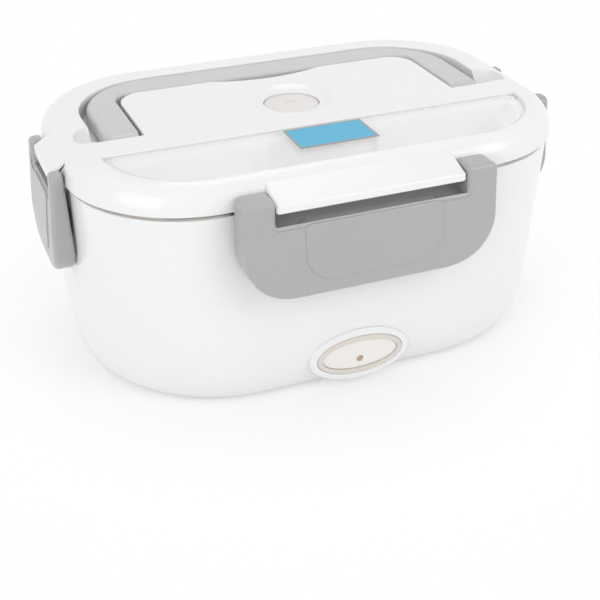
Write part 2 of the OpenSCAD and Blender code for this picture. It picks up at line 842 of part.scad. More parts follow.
module scoops(grow) {
    for (s = [-1, 1]) intersection() {
        translate([s * (handle_a + 1), scoop_y, scoop_z]) sphere(r = scoop_r + grow, $fn = 96);
        translate([s * (handle_a + 11), well_front - grow + 15, scoop_z])
            cube([24, 30, 2 * scoop_r + 2 * grow + 2], center = true);
    }
}

module lid_form() {
    n = 7;
    outer = concat(
        [inset_ring(0, skirt_z)],
        [for (i = [0:n])
            let (t = 90 * i / n) inset_ring(edge_inset * (1 - cos(t)), edge_z + edge_drop * sin(t))]
    );
    inner = concat(
        [inset_ring(lid_skin, skirt_z)],
        [for (i = [0:3]) let (t = 30 * i)
            inset_ring(lid_skin + edge_inset * (1 - cos(t)), edge_z + (edge_drop - lid_skin) * sin(t))]
    );
    loft(concat(reversed(inner), outer));
}

module lid_shell() {
    fill_top = top_z - lid_skin + 0.2;
    color(white) for (s = [-1, 1])
        translate([s * post_x - post_w / 2, tray_y - ledge_back - post_l, tray_floor - 1])
            cube([post_w, post_l + 1, post_top - tray_floor + 1]);
    color(white) difference() {
        union() {
            lid_form();
            translate([0, 0, liner_flange]) linear_extrude(height = fill_top - liner_flange) {
                tray_shape(lid_skin, lid_skin);
                channel_shape(2);
            }
            translate([0, 0, liner_floor + liner_t])
                linear_extrude(height = liner_flange - liner_floor - liner_t + 1)
                    tray_shape(-well_in + well_floor_t, -ledge_back + well_floor_t);
            intersection() {
                knuckle_well(2);
                translate([0, 0, fill_top - 50]) cube([2 * half_l, lid_w, 100], center = true);
            }
            intersection() {
                scoops(2);
                translate([0, 0, fill_top - 50]) cube([2 * half_l, lid_w, 100], center = true);
            }
            for (s = [-1, 1]) translate([s * (island_a - 4), pivot_y, pivot_z]) along_x(pivot_boss_r, 7);
            translate([0, vent_y, plug_seat - 2]) cylinder(r = well_r + 2, h = fill_top - plug_seat + 2);
            translate([0, vent_y, liner_floor + liner_t])
                cylinder(r = bore_r + 2.4, h = plug_seat - liner_floor - liner_t);
            on_side(0) latch_tab(front_stand, front_inner);
            on_side(180) latch_tab(front_stand, front_inner, back_drop);
            for (turn = [-90, 90])
                translate([0, side_y, 0]) on_side(turn) latch_tab(side_stand, side_inner, side_drop);
        }
        translate([0, 0, tray_seat]) linear_extrude(height = 20) tray_shape(cover_gap, cover_gap);
        translate([0, 0, tray_step]) linear_extrude(height = 20) tray_shape(-ledge_back, -ledge_back);
        translate([0, 0, tray_floor]) linear_extrude(height = 20) tray_shape(-well_in, -ledge_back);
        translate([0, barrel_y, barrel_z]) along_x(barrel_r + 0.4, barrel_l + 1);
        translate([0, barrel_y, barrel_z]) along_x(cover_stub_r + stub_play, barrel_l + 2 * cover_stub_l + 1);
        translate([0, 0, channel_floor]) linear_extrude(height = 20) channel_shape(0);
        knuckle_well(0);
        scoops(0);
        for (s = [-1, 1]) translate([s * island_a, pivot_y, pivot_z]) along_x(pivot_r + 0.05, 10);
        translate([0, vent_y, top_z - well_depth + well_ball]) sphere(r = well_ball, $fn = 128);
        translate([0, vent_y, plug_seat]) cylinder(r = plug_r + 0.4, h = 20);
        translate([0, vent_y, liner_floor]) cylinder(r = bore_r, h = 40);
    }
}

// Radius of the ball that gives the dished well its rim and depth
well_ball = (well_r * well_r + well_depth * well_depth) / (2 * well_depth);

module lid_liner() {
    color(inner_white) difference() {
        loft([
            inset_ring(liner_in + 2, liner_floor), inset_ring(liner_in + 0.6, liner_floor + 0.6),
            inset_ring(liner_in, liner_floor + 2), inset_ring(liner_in, gasket_top),
            inset_ring(liner_flange_in, gasket_top), inset_ring(liner_flange_in, liner_flange),
            inset_ring(liner_in + liner_t, liner_flange), inset_ring(liner_in + liner_t, liner_floor + liner_t)
        ]);
        translate([0, vent_y, liner_floor - 1]) cylinder(r = bore_r, h = liner_t + 2);
    }
}

module gasket() {
    near = box_flange_in + 1;
    far = liner_in - 1.4;
    color("#e4e2dc") loft([
        inset_ring(far, skirt_z), inset_ring(near + 1, skirt_z), inset_ring(near, skirt_z + gasket_t / 2),
        inset_ring(near, gasket_top), inset_ring(far, gasket_top)
    ], ring_shaped = true);
}

module handle() {
    color(grey) {
        translate([0, 0, handle_bottom]) linear_extrude(height = handle_t) difference() {
            polygon(bridge(handle_a, pivot_y, handle_y, handle_r));
            polygon(bridge(handle_a - leg_w, pivot_y - 1, handle_y - bar_w, handle_inner_r));
        }
        for (s = [-1, 1]) {
            translate([s * (handle_a - leg_w / 2), pivot_y, pivot_z]) along_x(knuckle_r, leg_w);
            translate([s * (handle_a - leg_w - pivot_l / 2 + 1), pivot_y, pivot_z]) along_x(pivot_r, pivot_l);
        }
    }
}

module vent_plug() {
    edge = 1.6;
    crown = 1;
    slot_l = 6;
    slot_w = 1;
    n = 8;
    color("#e6dcd8") translate([0, vent_y, plug_seat]) difference() {
        union() {
            rotate_extrude($fn = 96) polygon(concat(
                [[0, 0], [plug_r, 0], [plug_r, edge - 0.3], [plug_r - 0.3, edge]],
                [for (i = [1:n]) [(plug_r - 0.3) * cos(90 * i / n), edge + crown * sin(90 * i / n)]]
            ));
            translate([0, 0, 1 - plug_seat + liner_floor]) cylinder(r = stem_r, h = plug_seat - liner_floor);
        }
        translate([-slot_l / 2, -slot_w / 2, edge + crown - 0.8]) cube([slot_l, slot_w, crown + 1]);
        translate([0, -slot_w, liner_floor - plug_seat])
            cube([stem_r + 1, 2 * slot_w, plug_seat - liner_floor - 2]);
    }
}

module tray_cover() {
    plate_z = top_z - cover_drop - tray_cover_t;
    color("#f4f5f7") {
        difference() {
            translate([0, 0, plate_z]) linear_extrude(height = tray_cover_t) tray_shape(0, 0);
            translate([0, tray_y, barrel_z]) cube([lid_l, 2 * barrel_r + 1.8, 4 * barrel_r], center = true);
        }
        translate([0, barrel_y, barrel_z]) along_x(barrel_r, barrel_l);
        translate([-barrel_l / 2, barrel_y - barrel_r - 1, plate_z])
            cube([barrel_l, barrel_r + 1, tray_cover_t]);
        translate([0, barrel_y, barrel_z]) along_x(cover_stub_r, barrel_l + 2 * cover_stub_l - 1);
    }
}

module label() {
    color("#4fb3dc") translate([-label_l / 2, tray_y - 2 - label_w, top_z - cover_drop])
        cube([label_l, label_w, label_t]);
}

body_shell();
bottom_cover();
feet();
cover_screws();
heating_pan();
heater_plate();
clamp_bar();
clamp_nuts();
thermostat();
thermal_fuse();
led_board();
led();
badge_ring();
badge_window();
inlet_housing();
inlet_pins();
inlet_screws();
food_container();
lid_shell();
lid_liner();
gasket();
latch_front();
latch_back();
latch_left();
latch_right();
handle();
vent_plug();
tray_cover();
label();
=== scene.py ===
import math
import bmesh
import bpy
from mathutils import Matrix, Vector


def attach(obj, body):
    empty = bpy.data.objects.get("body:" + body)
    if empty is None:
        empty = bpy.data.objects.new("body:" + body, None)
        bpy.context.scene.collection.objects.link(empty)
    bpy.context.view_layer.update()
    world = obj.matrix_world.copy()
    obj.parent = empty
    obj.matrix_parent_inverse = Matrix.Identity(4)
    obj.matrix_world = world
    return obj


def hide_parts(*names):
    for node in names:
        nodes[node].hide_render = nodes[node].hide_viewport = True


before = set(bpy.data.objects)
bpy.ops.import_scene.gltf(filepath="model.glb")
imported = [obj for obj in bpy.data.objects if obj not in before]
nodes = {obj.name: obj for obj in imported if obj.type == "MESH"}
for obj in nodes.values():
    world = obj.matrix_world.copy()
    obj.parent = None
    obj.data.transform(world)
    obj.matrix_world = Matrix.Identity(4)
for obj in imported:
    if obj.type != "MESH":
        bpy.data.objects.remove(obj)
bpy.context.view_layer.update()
scene = bpy.context.scene
mm = 0.001
print("frame loaded")


# Camera, at the photograph's viewing angle

cameraLook = {
    "azimuth": -21.002,
    "elevation": 25.517,
    "distance": 575.57,
    "aim": (0, 0, 55),
    "yaw": 0.106,
    "pitch": -4.519,
    "roll": -0.879,
    "lens": 70.726,
    "sensor": 36,
    "clip": (0.01, 20),
}


# Turns one direction towards another by an angle
def turnPair(a, b, angle):
    return a * math.cos(angle) + b * math.sin(angle), b * math.cos(angle) - a * math.sin(angle)


def makeCamera(look):
    az = math.radians(look["azimuth"])
    el = math.radians(look["elevation"])
    back = Vector((math.sin(az) * math.cos(el), -math.cos(az) * math.cos(el), math.sin(el)))
    ahead = -back
    right = ahead.cross(Vector((0, 0, 1))).normalized()
    up = right.cross(ahead)
    spot = Vector(look["aim"]) + back * look["distance"]
    yaw, pitch, roll = [math.radians(look[name]) for name in ("yaw", "pitch", "roll")]
    ahead, right = turnPair(ahead, right, yaw)
    ahead, up = turnPair(ahead, up, pitch)
    right, up = turnPair(right, up, roll)
    data = bpy.data.cameras.new("camera")
    data.lens = look["lens"]
    data.sensor_width = look["sensor"]
    data.clip_start, data.clip_end = look["clip"]
    camera = bpy.data.objects.new("camera", data)
    scene.collection.objects.link(camera)
    axes = Matrix((right, up, -ahead)).transposed().to_4x4()
    camera.matrix_world = Matrix.Translation(spot * mm) @ axes
    scene.camera = camera


makeCamera(cameraLook)
scene.view_settings.view_transform = "Standard"
print("camera ready")


# Shader maths: a value that knows its node tree

class Value:
    def __init__(self, tree, socket=None):
        self.tree = tree
        self.socket = socket

    def node(self, kind, settings=None, inputs=None, out=0):
        made = self.tree.nodes.new(kind)
        for name, value in (settings or {}).items():
            setattr(made, name, value)
        for name, value in (inputs or {}).items():
            if isinstance(value, Value):
                self.tree.links.new(value.socket, made.inputs[name])
            else:
                made.inputs[name].default_value = value
        return Value(self.tree, made.outputs[out])

    def maths(self, operation, first, second=0.0):
        return self.node("ShaderNodeMath", {"operation": operation}, {0: first, 1: second})

    def __add__(self, other):
        return self.maths("ADD", self, other)

    def __radd__(self, other):
        return self.maths("ADD", other, self)

    def __sub__(self, other):
        return self.maths("SUBTRACT", self, other)

    def __mul__(self, other):
        return self.maths("MULTIPLY", self, other)

    def __gt__(self, other):
        return self.maths("GREATER_THAN", self, other)

    def mix(self, low, high):
        return self.node(
            "ShaderNodeMix", {"data_type": "RGBA"}, {"Factor": self, "A": low, "B": high}, out=2
        )

    def steps(self, low, high):
        return self.node(
            "ShaderNodeMapRange",
            {"interpolation_type": "SMOOTHSTEP"},
            {"Value": self, "From Min": low, "From Max": high, "To Min": 0.0, "To Max": 1.0},
        )


def newMaterial(name):
    material = bpy.data.materials.new(name)
    material.use_nodes = True
    tree = material.node_tree
    return material, tree, tree.nodes["Principled BSDF"]


def place(tree, size=(1, 1, 1)):
    start = Value(tree)
    point = start.node("ShaderNodeTexCoord", out="Object")
    return point.node("ShaderNodeMapping", {}, {"Vector": point, "Scale": size})


def noise(point, scale, detail=3.0, roughness=0.55):
    return point.node(
        "ShaderNodeTexNoise", {}, {"Vector": point, "Scale": scale, "Detail": detail, "Roughness": roughness}
    )


def finish(tree, shader, **inputs):
    for name, value in inputs.items():
        plug = shader.inputs[name.replace("_", " ")]
        if isinstance(value, Value):
            tree.links.new(value.socket, plug)
        else:
            plug.default_value = value


def shade(colour, by):
    return tuple(min(1.0, c * by) for c in colour[:3]) + (1.0,)


def relief(height, strength):
    return height.node("ShaderNodeBump", {}, {"Height": height, "Strength": strength, "Distance": 0.0002})


def spreadColour(pattern, look):
    return pattern.mix(shade(look["colour"], 1 - look["spread"]), shade(look["colour"], 1 + look["spread"]))


# What every plastic has unless its own look says otherwise
plasticLook = {
    "spread": 0.02, "cloudScale": 26, "grainScale": 1500, "bump": 0.05, "wearScale": 140, "wear": 0.08,
    "coat": 0.0, "coatRough": 0.08, "ior": 1.49, "alpha": 1.0,
}


# Moulded plastic: faint clouding, fine grain, worn gloss
def moulded(name, own):
    look = {**plasticLook, **own}
    material, tree, shader = newMaterial(name)
    point = place(tree)
    colour = spreadColour(noise(point, look["cloudScale"], 3), look)
    bump = relief(noise(point, look["grainScale"], 2), look["bump"])
    rough = look["rough"] + (noise(point, look["wearScale"], 5, 0.65) - 0.5) * look["wear"]
    finish(tree, shader, Base_Color=colour, Roughness=rough, Normal=bump, IOR=look["ior"])
    finish(tree, shader, Coat_Weight=look["coat"], Coat_Roughness=look["coatRough"], Alpha=look["alpha"])
    return material


metalLook = {
    "spread": 0.08, "stretch": (6, 900, 900), "lines": 0.16, "cloudScale": 40, "cloud": 0.1, "bump": 0.08,
}


# Sheet and turned metal: brushed lines along one direction
def metal(name, own):
    look = {**metalLook, **own}
    material, tree, shader = newMaterial(name)
    lines = noise(place(tree, look["stretch"]), 1, 4, 0.7)
    cloud = noise(place(tree), look["cloudScale"], 3)
    colour = spreadColour(lines, look)
    rough = look["rough"] + (lines - 0.5) * look["lines"] + (cloud - 0.5) * look["cloud"]
    finish(tree, shader, Base_Color=colour, Roughness=rough, Normal=relief(lines, look["bump"]), Metallic=1.0)
    return material


looks = {
    "whiteShell": {
        "colour": (0.808, 0.808, 0.815), "rough": 0.22, "coat": 0.3, "spread": 0.008, "bump": 0.02,
    },
    "whiteInner": {"colour": (0.78, 0.78, 0.785), "rough": 0.38, "spread": 0.01},
    "latchGrey": {
        "colour": (0.39, 0.384, 0.38), "rough": 0.36, "coat": 0.35, "coatRough": 0.18, "bump": 0.07,
    },
    "handleGrey": {
        "colour": (0.525, 0.525, 0.525), "rough": 0.3, "coat": 0.35, "coatRough": 0.14, "spread": 0.015,
    },
    "footRubber": {"colour": (0.62, 0.62, 0.62), "rough": 0.7, "bump": 0.2},
    "thermostatBlack": {"colour": (0.03, 0.03, 0.032), "rough": 0.5, "bump": 0.1},
    "fuseCeramic": {"colour": (0.78, 0.74, 0.66), "rough": 0.55, "spread": 0.05},
    "boardGreen": {"colour": (0.05, 0.22, 0.09), "rough": 0.35, "spread": 0.12, "cloudScale": 200},
    "lampResin": {"colour": (0.6, 0.46, 0.36), "rough": 0.15},
    "badgeBeige": {"colour": (0.67, 0.625, 0.57), "rough": 0.25, "coat": 0.5},
    "badgePale": {"colour": (0.86, 0.84, 0.81), "rough": 0.2, "coat": 0.5, "alpha": 0.94},
    "inletBlack": {"colour": (0.028, 0.028, 0.03), "rough": 0.42, "bump": 0.1},
    "gasketSilicone": {"colour": (0.8, 0.79, 0.76), "rough": 0.55},
    "ventSilicone": {"colour": (0.75, 0.722, 0.712), "rough": 0.42},
    "trayClear": {"colour": (0.87, 0.87, 0.875), "rough": 0.14, "coat": 0.4, "alpha": 0.5},
    "labelBlue": {"colour": (0.045, 0.4, 0.63), "rough": 0.3, "spread": 0.03},
    "labelGrey": {"colour": (0.31, 0.3, 0.3), "rough": 0.35, "spread": 0.03},
}
metals = {
    # Pan and container steel: its own steel colour darkened further, painted shade that stands in for the
    # shadow in the seam gap under the lid
    "panSteelSeamShade": {"colour": (0.48, 0.455, 0.43), "rough": 0.24, "stretch": (6, 6, 900)},
    "screwSteel": {"colour": (0.68, 0.68, 0.7), "rough": 0.25, "stretch": (400, 400, 400)},
    "heaterAlloy": {"colour": (0.5, 0.51, 0.53), "rough": 0.45, "stretch": (60, 60, 60), "spread": 0.12},
    "bracketSteel": {"colour": (0.58, 0.58, 0.6), "rough": 0.35},
    "pinBrass": {"colour": (0.72, 0.58, 0.32), "rough": 0.25, "stretch": (800, 20, 800)},
    "nutBrass": {"colour": (0.7, 0.55, 0.28), "rough": 0.32, "stretch": (300, 300, 300)},
}
paint = {name: moulded(name, look) for name, look in looks.items()}
paint.update({name: metal(name, look) for name, look in metals.items()})
print("materials ready")


# Mesh tools, in millimetres

def meshObject(name, points, faces):
    mesh = bpy.data.meshes.new(name)
    mesh.from_pydata([Vector(p) * mm for p in points], [], faces)
    mesh.validate()
    made = bpy.data.objects.new(name, mesh)
    scene.collection.objects.link(made)
    return made


def shift(x, y, z):
    return Matrix.Translation(Vector((x, y, z)) * mm)


def quarter(n):
    return [math.pi / 2 * i / n for i in range(n + 1)]


def arc(r, centre, start, end, n=8):
    turns = [math.radians(start + (end - start) * i / n) for i in range(n + 1)]
    return [(centre[0] + r * math.cos(t), centre[1] + r * math.sin(t)) for t in turns]


def oval(a, b, n=96):
    return [(a * math.cos(math.tau * i / n), b * math.sin(math.tau * i / n)) for i in range(n)]


def atHeight(outline, z):
    return [(x, y, z) for x, y in outline]


# Faces between ring i and ring k, each of m points
def strip(i, k, m):
    return [(i * m + j, i * m + (j + 1) % m, k * m + (j + 1) % m, k * m + j) for j in range(m)]


def roundedOutline(a, b, r, n):
    outline = []
    for corner in range(4):
        sx = 1 if corner in (0, 3) else -1
        sy = 1 if corner < 2 else -1
        for i in range(n + 1):
            t = math.pi / 2 * (corner + i / n)
            outline.append((sx * (a - r) + r * math.cos(t), sy * (b - r) + r * math.sin(t)))
    return outline


# A solid through rounded rectangles, each (half length, half width, radius, height)
def loft(name, rings, n=24, ringShaped=False):
    m = 4 * (n + 1)
    points = [(x, y, ring[3]) for ring in rings for x, y in roundedOutline(ring[0], ring[1], ring[2], n)]
    last = len(rings) - 1
    faces = [face for i in range(last) for face in strip(i, i + 1, m)]
    if ringShaped:
        faces += strip(last, 0, m)
    else:
        faces += [tuple(range(m - 1, -1, -1)), tuple(range(last * m, last * m + m))]
    made = meshObject(name, points, faces)
    tidyNormals(made)
    return made


# A closed solid through rings of points, each ring as long as the next
def tower(name, rings):
    m = len(rings[0])
    last = len(rings) - 1
    faces = [face for i in range(last) for face in strip(i, i + 1, m)]
    faces += [tuple(range(m - 1, -1, -1)), tuple(range(last * m, last * m + m))]
    made = meshObject(name, [point for ring in rings for point in ring], faces)
    tidyNormals(made)
    return made


def prism(name, outline, low, high):
    return tower(name, [atHeight(outline, low), atHeight(outline, high)])


# Moves every side of a closed outline inwards by d, or outwards where d is negative
def insetLoop(points, d):
    area = sum(a[0] * b[1] - b[0] * a[1] for a, b in zip(points, points[1:] + points[:1]))
    side = 1 if area > 0 else -1
    moved = []
    for before, here, after in zip(points[-1:] + points[:-1], points, points[1:] + points[:1]):
        u = (Vector(here) - Vector(before)).normalized()
        v = (Vector(after) - Vector(here)).normalized()
        normal = Vector((-u.y - v.y, u.x + v.x)).normalized() * side
        share = max(0.4, normal.dot(Vector((-u.y, u.x)) * side))
        moved.append((here[0] + normal.x * d / share, here[1] + normal.y * d / share))
    return moved


# Insets and heights of a solid whose lower and upper rims are rounded
def roundRows(low, high, lowR, highR, n=6):
    start, end = [(0, low)], [(0, high)]
    if lowR:
        start = [(lowR * (1 - math.sin(t)), low + lowR * (1 - math.cos(t))) for t in quarter(n)]
    if highR:
        end = [(highR * (1 - math.cos(t)), high - highR * (1 - math.sin(t))) for t in quarter(n)]
    return start + end


def pillow(name, outline, low, high, lowR, highR):
    return tower(name, [atHeight(insetLoop(outline, d), z) for d, z in roundRows(low, high, lowR, highR)])


# A cutting tool that rounds the rim of the opening it makes, at the height top
def flared(name, outline, low, top, r, sign=1):
    flare = [(-r * (1 - math.cos(t)), top - r * (1 - math.sin(t))) for t in quarter(6)]
    rows = [(0, low)] + flare + [(-r, top + 5)]
    return tower(name, [atHeight(insetLoop(outline, sign * d), z) for d, z in rows])


# A solid of revolution through (radius, height) points
def turned(name, centre, profile, n=96):
    made = tower(name, [atHeight(oval(r, r, n), z) for r, z in profile])
    made.data.transform(shift(*centre, 0))
    return made


def rod(name, r, start, end, n=48):
    start, end = Vector(start), Vector(end)
    made = prism(name, oval(r, r, n), 0, 1)
    along = end - start
    turn = along.to_track_quat("Z", "Y").to_matrix().to_4x4()
    size = Matrix.Diagonal((1, 1, along.length, 1))
    made.data.transform(shift(*start) @ turn @ size)
    return made


# A rod along X from one distance to another
def xRod(name, r, a0, a1, y, z, n=48):
    return rod(name, r, (a0, y, z), (a1, y, z), n)


def ball(name, r, centre, n=64):
    made = meshObject(name, [], [])
    work = bmesh.new()
    bmesh.ops.create_uvsphere(work, u_segments=n, v_segments=n // 2, radius=r * mm)
    bmesh.ops.translate(work, vec=Vector(centre) * mm, verts=work.verts)
    work.to_mesh(made.data)
    work.free()
    return made


def block(name, low, high):
    (x0, y0, z0), (x1, y1, z1) = low, high
    return prism(name, [(x0, y0), (x1, y0), (x1, y1), (x0, y1)], z0, z1)


def tidyNormals(made, merge=0.0005):
    work = bmesh.new()
    work.from_mesh(made.data)
    bmesh.ops.remove_doubles(work, verts=work.verts, dist=merge * mm)
    bmesh.ops.recalc_face_normals(work, faces=work.faces)
    work.to_mesh(made.data)
    work.free()


# Replaces an object's mesh by the evaluated one and drops its modifiers
def bake(made):
    bpy.context.view_layer.update()
    graph = bpy.context.evaluated_depsgraph_get()
    done = bpy.data.meshes.new_from_object(made.evaluated_get(graph))
    made.modifiers.clear()
    old = made.data
    made.data = done
    bpy.data.meshes.remove(old)
    return made


def combine(made, tools, operation):
    for tool in tools:
        step = made.modifiers.new("cut", "BOOLEAN")
        step.operation = operation
        step.solver = "MANIFOLD"
        step.object = tool
    bake(made)
    for tool in tools:
        bpy.data.objects.remove(tool)
    return made


# Rounds the sharp edges where a width is given, then smooths the shading between them
def soften(made, width=0, smooth=40):
    tidyNormals(made, 0.002)
    if width:
        bevel = made.modifiers.new("edges", "BEVEL")
        bevel.limit_method = "ANGLE"
        bevel.angle_limit = math.radians(32)
        bevel.width = width * mm
        bevel.segments = 2
        bevel.miter_outer = "MITER_ARC"
        bake(made)
    made.data.shade_smooth()
    made.data.set_sharp_from_angle(angle=math.radians(smooth))
    weighted = made.modifiers.new("normals", "WEIGHTED_NORMAL")
    weighted.keep_sharp = True
    bake(made)
    return made


def paintPiece(made, material):
    made.data.materials.clear()
    made.data.materials.append(paint[material])
    return made


def standIn(made, node, body, material):
    paintPiece(made, material)
    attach(made, body)
    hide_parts(node)
    return made


# Sizes shared by the body and the lid

shape = {
    "lidL": 228, "lidW": 155, "cornerR": 54,
    "bodyH": 95, "sheet": 0.8, "seamGap": 0.3, "lidH": 12.6,
    "rimStep": 1.5, "sideY": -1.5, "sideDrop": 1.6, "backDrop": 2.6,
}
halfL = shape["lidL"] / 2
halfW = shape["lidW"] / 2
cornerR = shape["cornerR"]
panRim = shape["bodyH"] + shape["sheet"]
boxRim = panRim + shape["sheet"]
skirtZ = boxRim + shape["seamGap"]
topZ = skirtZ + shape["lidH"]


# Kind and turn of each latch
latches = {"front": ("front", 0), "back": ("front", 180), "left": ("side", -90), "right": ("side", 90)}


def insetRing(inset, z):
    return (halfL - inset, halfW - inset, cornerR - inset, z)


def latchDrop(turn):
    return {0: 0, 180: shape["backDrop"]}.get(turn, shape["sideDrop"])


# Moves a piece drawn against a side at y = 0 to one of the lid's four sides
def onSide(made, turn):
    out, along = (halfW, 0) if turn in (0, 180) else (halfL, shape["sideY"])
    spin = Matrix.Rotation(math.radians(turn), 4, "Z")
    made.data.transform(shift(0, along, 0) @ spin @ shift(0, -out, 0))
    return made


# Body shell

bodyLook = {
    "wall": 2.4, "bow": 0.1, "footH": 1.2, "baseInset": 8.6, "baseRise": 22.8, "baseRound": 17.2,
    "coverMargin": 12, "coverT": 1.8, "coverPlay": 0.3, "rimRound": 0.7,
    "bossZ": 15.8, "bossA": 24.3, "bossB": 13.0, "bossFace": 77.3, "bossDepth": 9, "bossRim": 1.3,
    "badgeA": 20.7, "badgeB": 9.4, "badgeT": 2.8, "catchZ": 84.0, "catchH": 2.6, "catchReach": 2.2,
    "frontCatch": 37, "sideCatch": 14, "catchRoot": 2.7, "edge": 0.35,
    "seatPlay": 0.2, "inletSeat": 1.6, "inletHole": (10.7, 15.2, 6.5),
}


def bodyRing(look, z, inset):
    t = (shape["bodyH"] - z) / (shape["bodyH"] - look["footH"])
    bow = 4 * look["bow"] * t * (1 - t)
    r = cornerR - shape["rimStep"] + look["baseRound"] * t
    half = shape["rimStep"] - bow + inset
    return (halfL - half, halfW - half, r - inset, z)


def bodySide(look, floorZ, inset, rings=16):
    side = look["footH"] + look["baseRise"]
    high = shape["bodyH"] - look["rimRound"]
    fillet = []
    for t in quarter(rings)[:0:-1]:
        z = floorZ + (side - floorZ) * (1 - math.sin(t))
        fillet.append(bodyRing(look, z, inset + look["baseInset"] * (1 - math.cos(t))))
    return fillet + [bodyRing(look, side + (high - side) * i / 12, inset) for i in range(13)]


# An upright prism drawn in X and Z, between two distances along Y, its front rim rounded
def upright(name, outline, y0, y1, lift, rim=0):
    made = pillow(name, outline, 0, abs(y1 - y0), 0, rim)
    made.data.transform(shift(0, max(y0, y1), lift) @ Matrix.Rotation(math.pi / 2, 4, "X"))
    return made


def makeBody(look):
    rim = shape["bodyH"]
    r = look["rimRound"]
    outer = bodySide(look, look["footH"], 0)
    inner = bodySide(look, look["footH"] + look["wall"], look["wall"])
    edge = [bodyRing(look, rim - r + r * math.sin(t), r * (1 - math.cos(t))) for t in (0.5, 1.0, math.pi / 2)]
    made = loft("bodyShell", outer + edge + [bodyRing(look, rim, look["wall"])] + inner[::-1])
    face, middle = look["bossFace"], look["bossZ"]
    parts = []
    for s in (-1, 1):
        outline = oval(look["bossA"], look["bossB"])
        boss = upright("boss", outline, look["bossDepth"] - face, -face, middle, look["bossRim"])
        if s > 0:
            boss.data.transform(Matrix.Rotation(math.pi, 4, "Z"))
        parts.append(boss)
    for kind, turn in latches.values():
        half, z = look[kind + "Catch"], look["catchZ"] - latchDrop(turn)
        bar = block("catch", (-half, -look["catchReach"], z), (half, look["catchRoot"], z + look["catchH"]))
        parts.append(onSide(bar, turn))
    combine(made, parts, "UNION")
    margin = shape["rimStep"] + look["baseInset"] + look["coverMargin"]
    a, b = halfL - margin, halfW - margin
    baseR = cornerR - shape["rimStep"] + look["baseRound"] - look["baseInset"] - look["coverMargin"]
    play = look["coverPlay"]
    opening = roundedOutline(a + play, b + play, baseR + play, 24)
    seat = oval(look["badgeA"] + look["seatPlay"], look["badgeB"] + look["seatPlay"])
    x, y, z = look["inletHole"]
    cuts = [
        prism("opening", opening, -1, look["footH"] + look["coverT"]),
        upright("badgeSeat", seat, -face + look["badgeT"], -face - 1, middle),
        upright("inletSeat", seat, face - look["inletSeat"], face + 1, middle),
        block("inletHole", (-x, face - y, middle - z), (x, face + 1, middle + z)),
    ]
    combine(made, cuts, "DIFFERENCE")
    soften(made, look["edge"])
    return standIn(made, "body_shell", "base", "whiteShell")


makeBody(bodyLook)
print("body ready")


# Latches: what the two kinds share, then each kind

latchShape = {
    "gap": 0.6, "top": 104.6, "ledge": 93.5, "wall": 2.2, "tuck": 1.2, "tabRound": 1.6,
    "bellyLow": 20, "bellyHigh": 3, "footRise": 9, "backLow": 12, "backHigh": 3, "earRound": 3.5,
    "panelT": 0.5, "panelRise": 7.8, "panelDrop": 1.2, "panelR": 14, "panelTopR": 3,
    "pocketTop": 88.2, "mouthPlay": 1.5, "shelfTop": 83.7, "shelfH": 3.7, "stubR": 1.1, "stubL": 3,
}
latchLooks = {
    "front": {
        "stand": 12.6, "half": 57, "inner": 43, "low": 58.6, "corner": 29, "earR": 4.2,
        "panel": 31, "catch": 37, "back": 0, "flare": 1.5, "rim": 2.2, "rimBack": 1.2,
    },
    "side": {
        "stand": 6.5, "half": 26, "inner": 18, "low": 53.1, "corner": 21, "earR": 2.95,
        "panel": 14, "catch": 14, "back": 1.7, "flare": 1.9, "rim": 2.4, "rimBack": 1.6,
    },
}


# Distance of the latch's face from the lid's edge at a height
def latchFace(look, z):
    kind = latchShape
    start = look["low"] + kind["bellyLow"]
    t = min(1, max(0, (z - start) / (kind["ledge"] + kind["bellyHigh"] - start)))
    foot = max(0, look["low"] + kind["footRise"] - z) / kind["footRise"]
    return look["stand"] + look["flare"] * (1 - t * t * (3 - 2 * t)) - kind["tuck"] * foot ** 2


def latchBack(look, z):
    start = look["low"] + latchShape["backLow"]
    t = min(1, max(0, (z - start) / (latchShape["ledge"] - latchShape["backHigh"] - start)))
    return latchShape["gap"] - look["back"] * (1 - t)


# Front view of a latch, with large lower and small upper corner rounds
def latchOutline(half, low, high, lowR, highR, n=24):
    right = arc(lowR, (half - lowR, low + lowR), -90, 0, n)
    right += arc(highR, (half - highR, high - highR), 0, 90)
    return right + [(-x, z) for x, z in right[::-1]]


# A closed form with rounded rims: its rings go from mid-back over the edge to mid-face
def faced(name, look, half, low, high, lowR, highR, lift, rim, rimBack, back):
    deep = min((high - low) / 2, half) - 2.5
    turns = quarter(7)
    inner = [rim + (deep - rim) * i / 8 for i in range(1, 9)]
    rows = [(d, back, 0) for d in inner[::-1]]
    rows += [(rimBack * (1 - math.sin(t)), back, rimBack * (1 - math.cos(t))) for t in turns]
    rows += [(rim * (1 - math.cos(t)), latchFace, lift - rim * (1 - math.sin(t))) for t in turns]
    rows += [(d, latchFace, lift) for d in inner]
    rings = []
    for d, side, out in rows:
        lowRound = min(max(lowR - d, 0.1), (high - low) / 2 - d)
        ring = latchOutline(half - d, low + d, high - d, lowRound, max(highR - d, 0.1))
        rings.append([(x, -side(look, z) - out, z) for x, z in ring])
    return tower(name, rings)


# Cuts the opening between a latch's ears, with rounds towards the face and the ears' tops
def slotTool(look, rim):
    inner, ledge, top = look["inner"], latchShape["ledge"], latchShape["top"]
    rows = [(rim * (1 - math.cos(t)), rim * (1 - math.sin(t)) - look["stand"]) for t in quarter(7)]
    rings = []
    for g, y in [(0, 8)] + rows + [(rim, -look["stand"] - 6)]:
        right = [(0, ledge - g)] + arc(1 + g, (inner - 1, ledge + 1), -90, 0, 6)
        right += arc(rim - g + 0.02, (inner + rim, top - rim), 180, 90)
        right += [(inner + rim, top + 6), (0, top + 6)]
        loop = right + [(-x, z) for x, z in right[::-1][1:-1]]
        rings.append([(x, y, z) for x, z in loop])
    return tower("slot", rings)


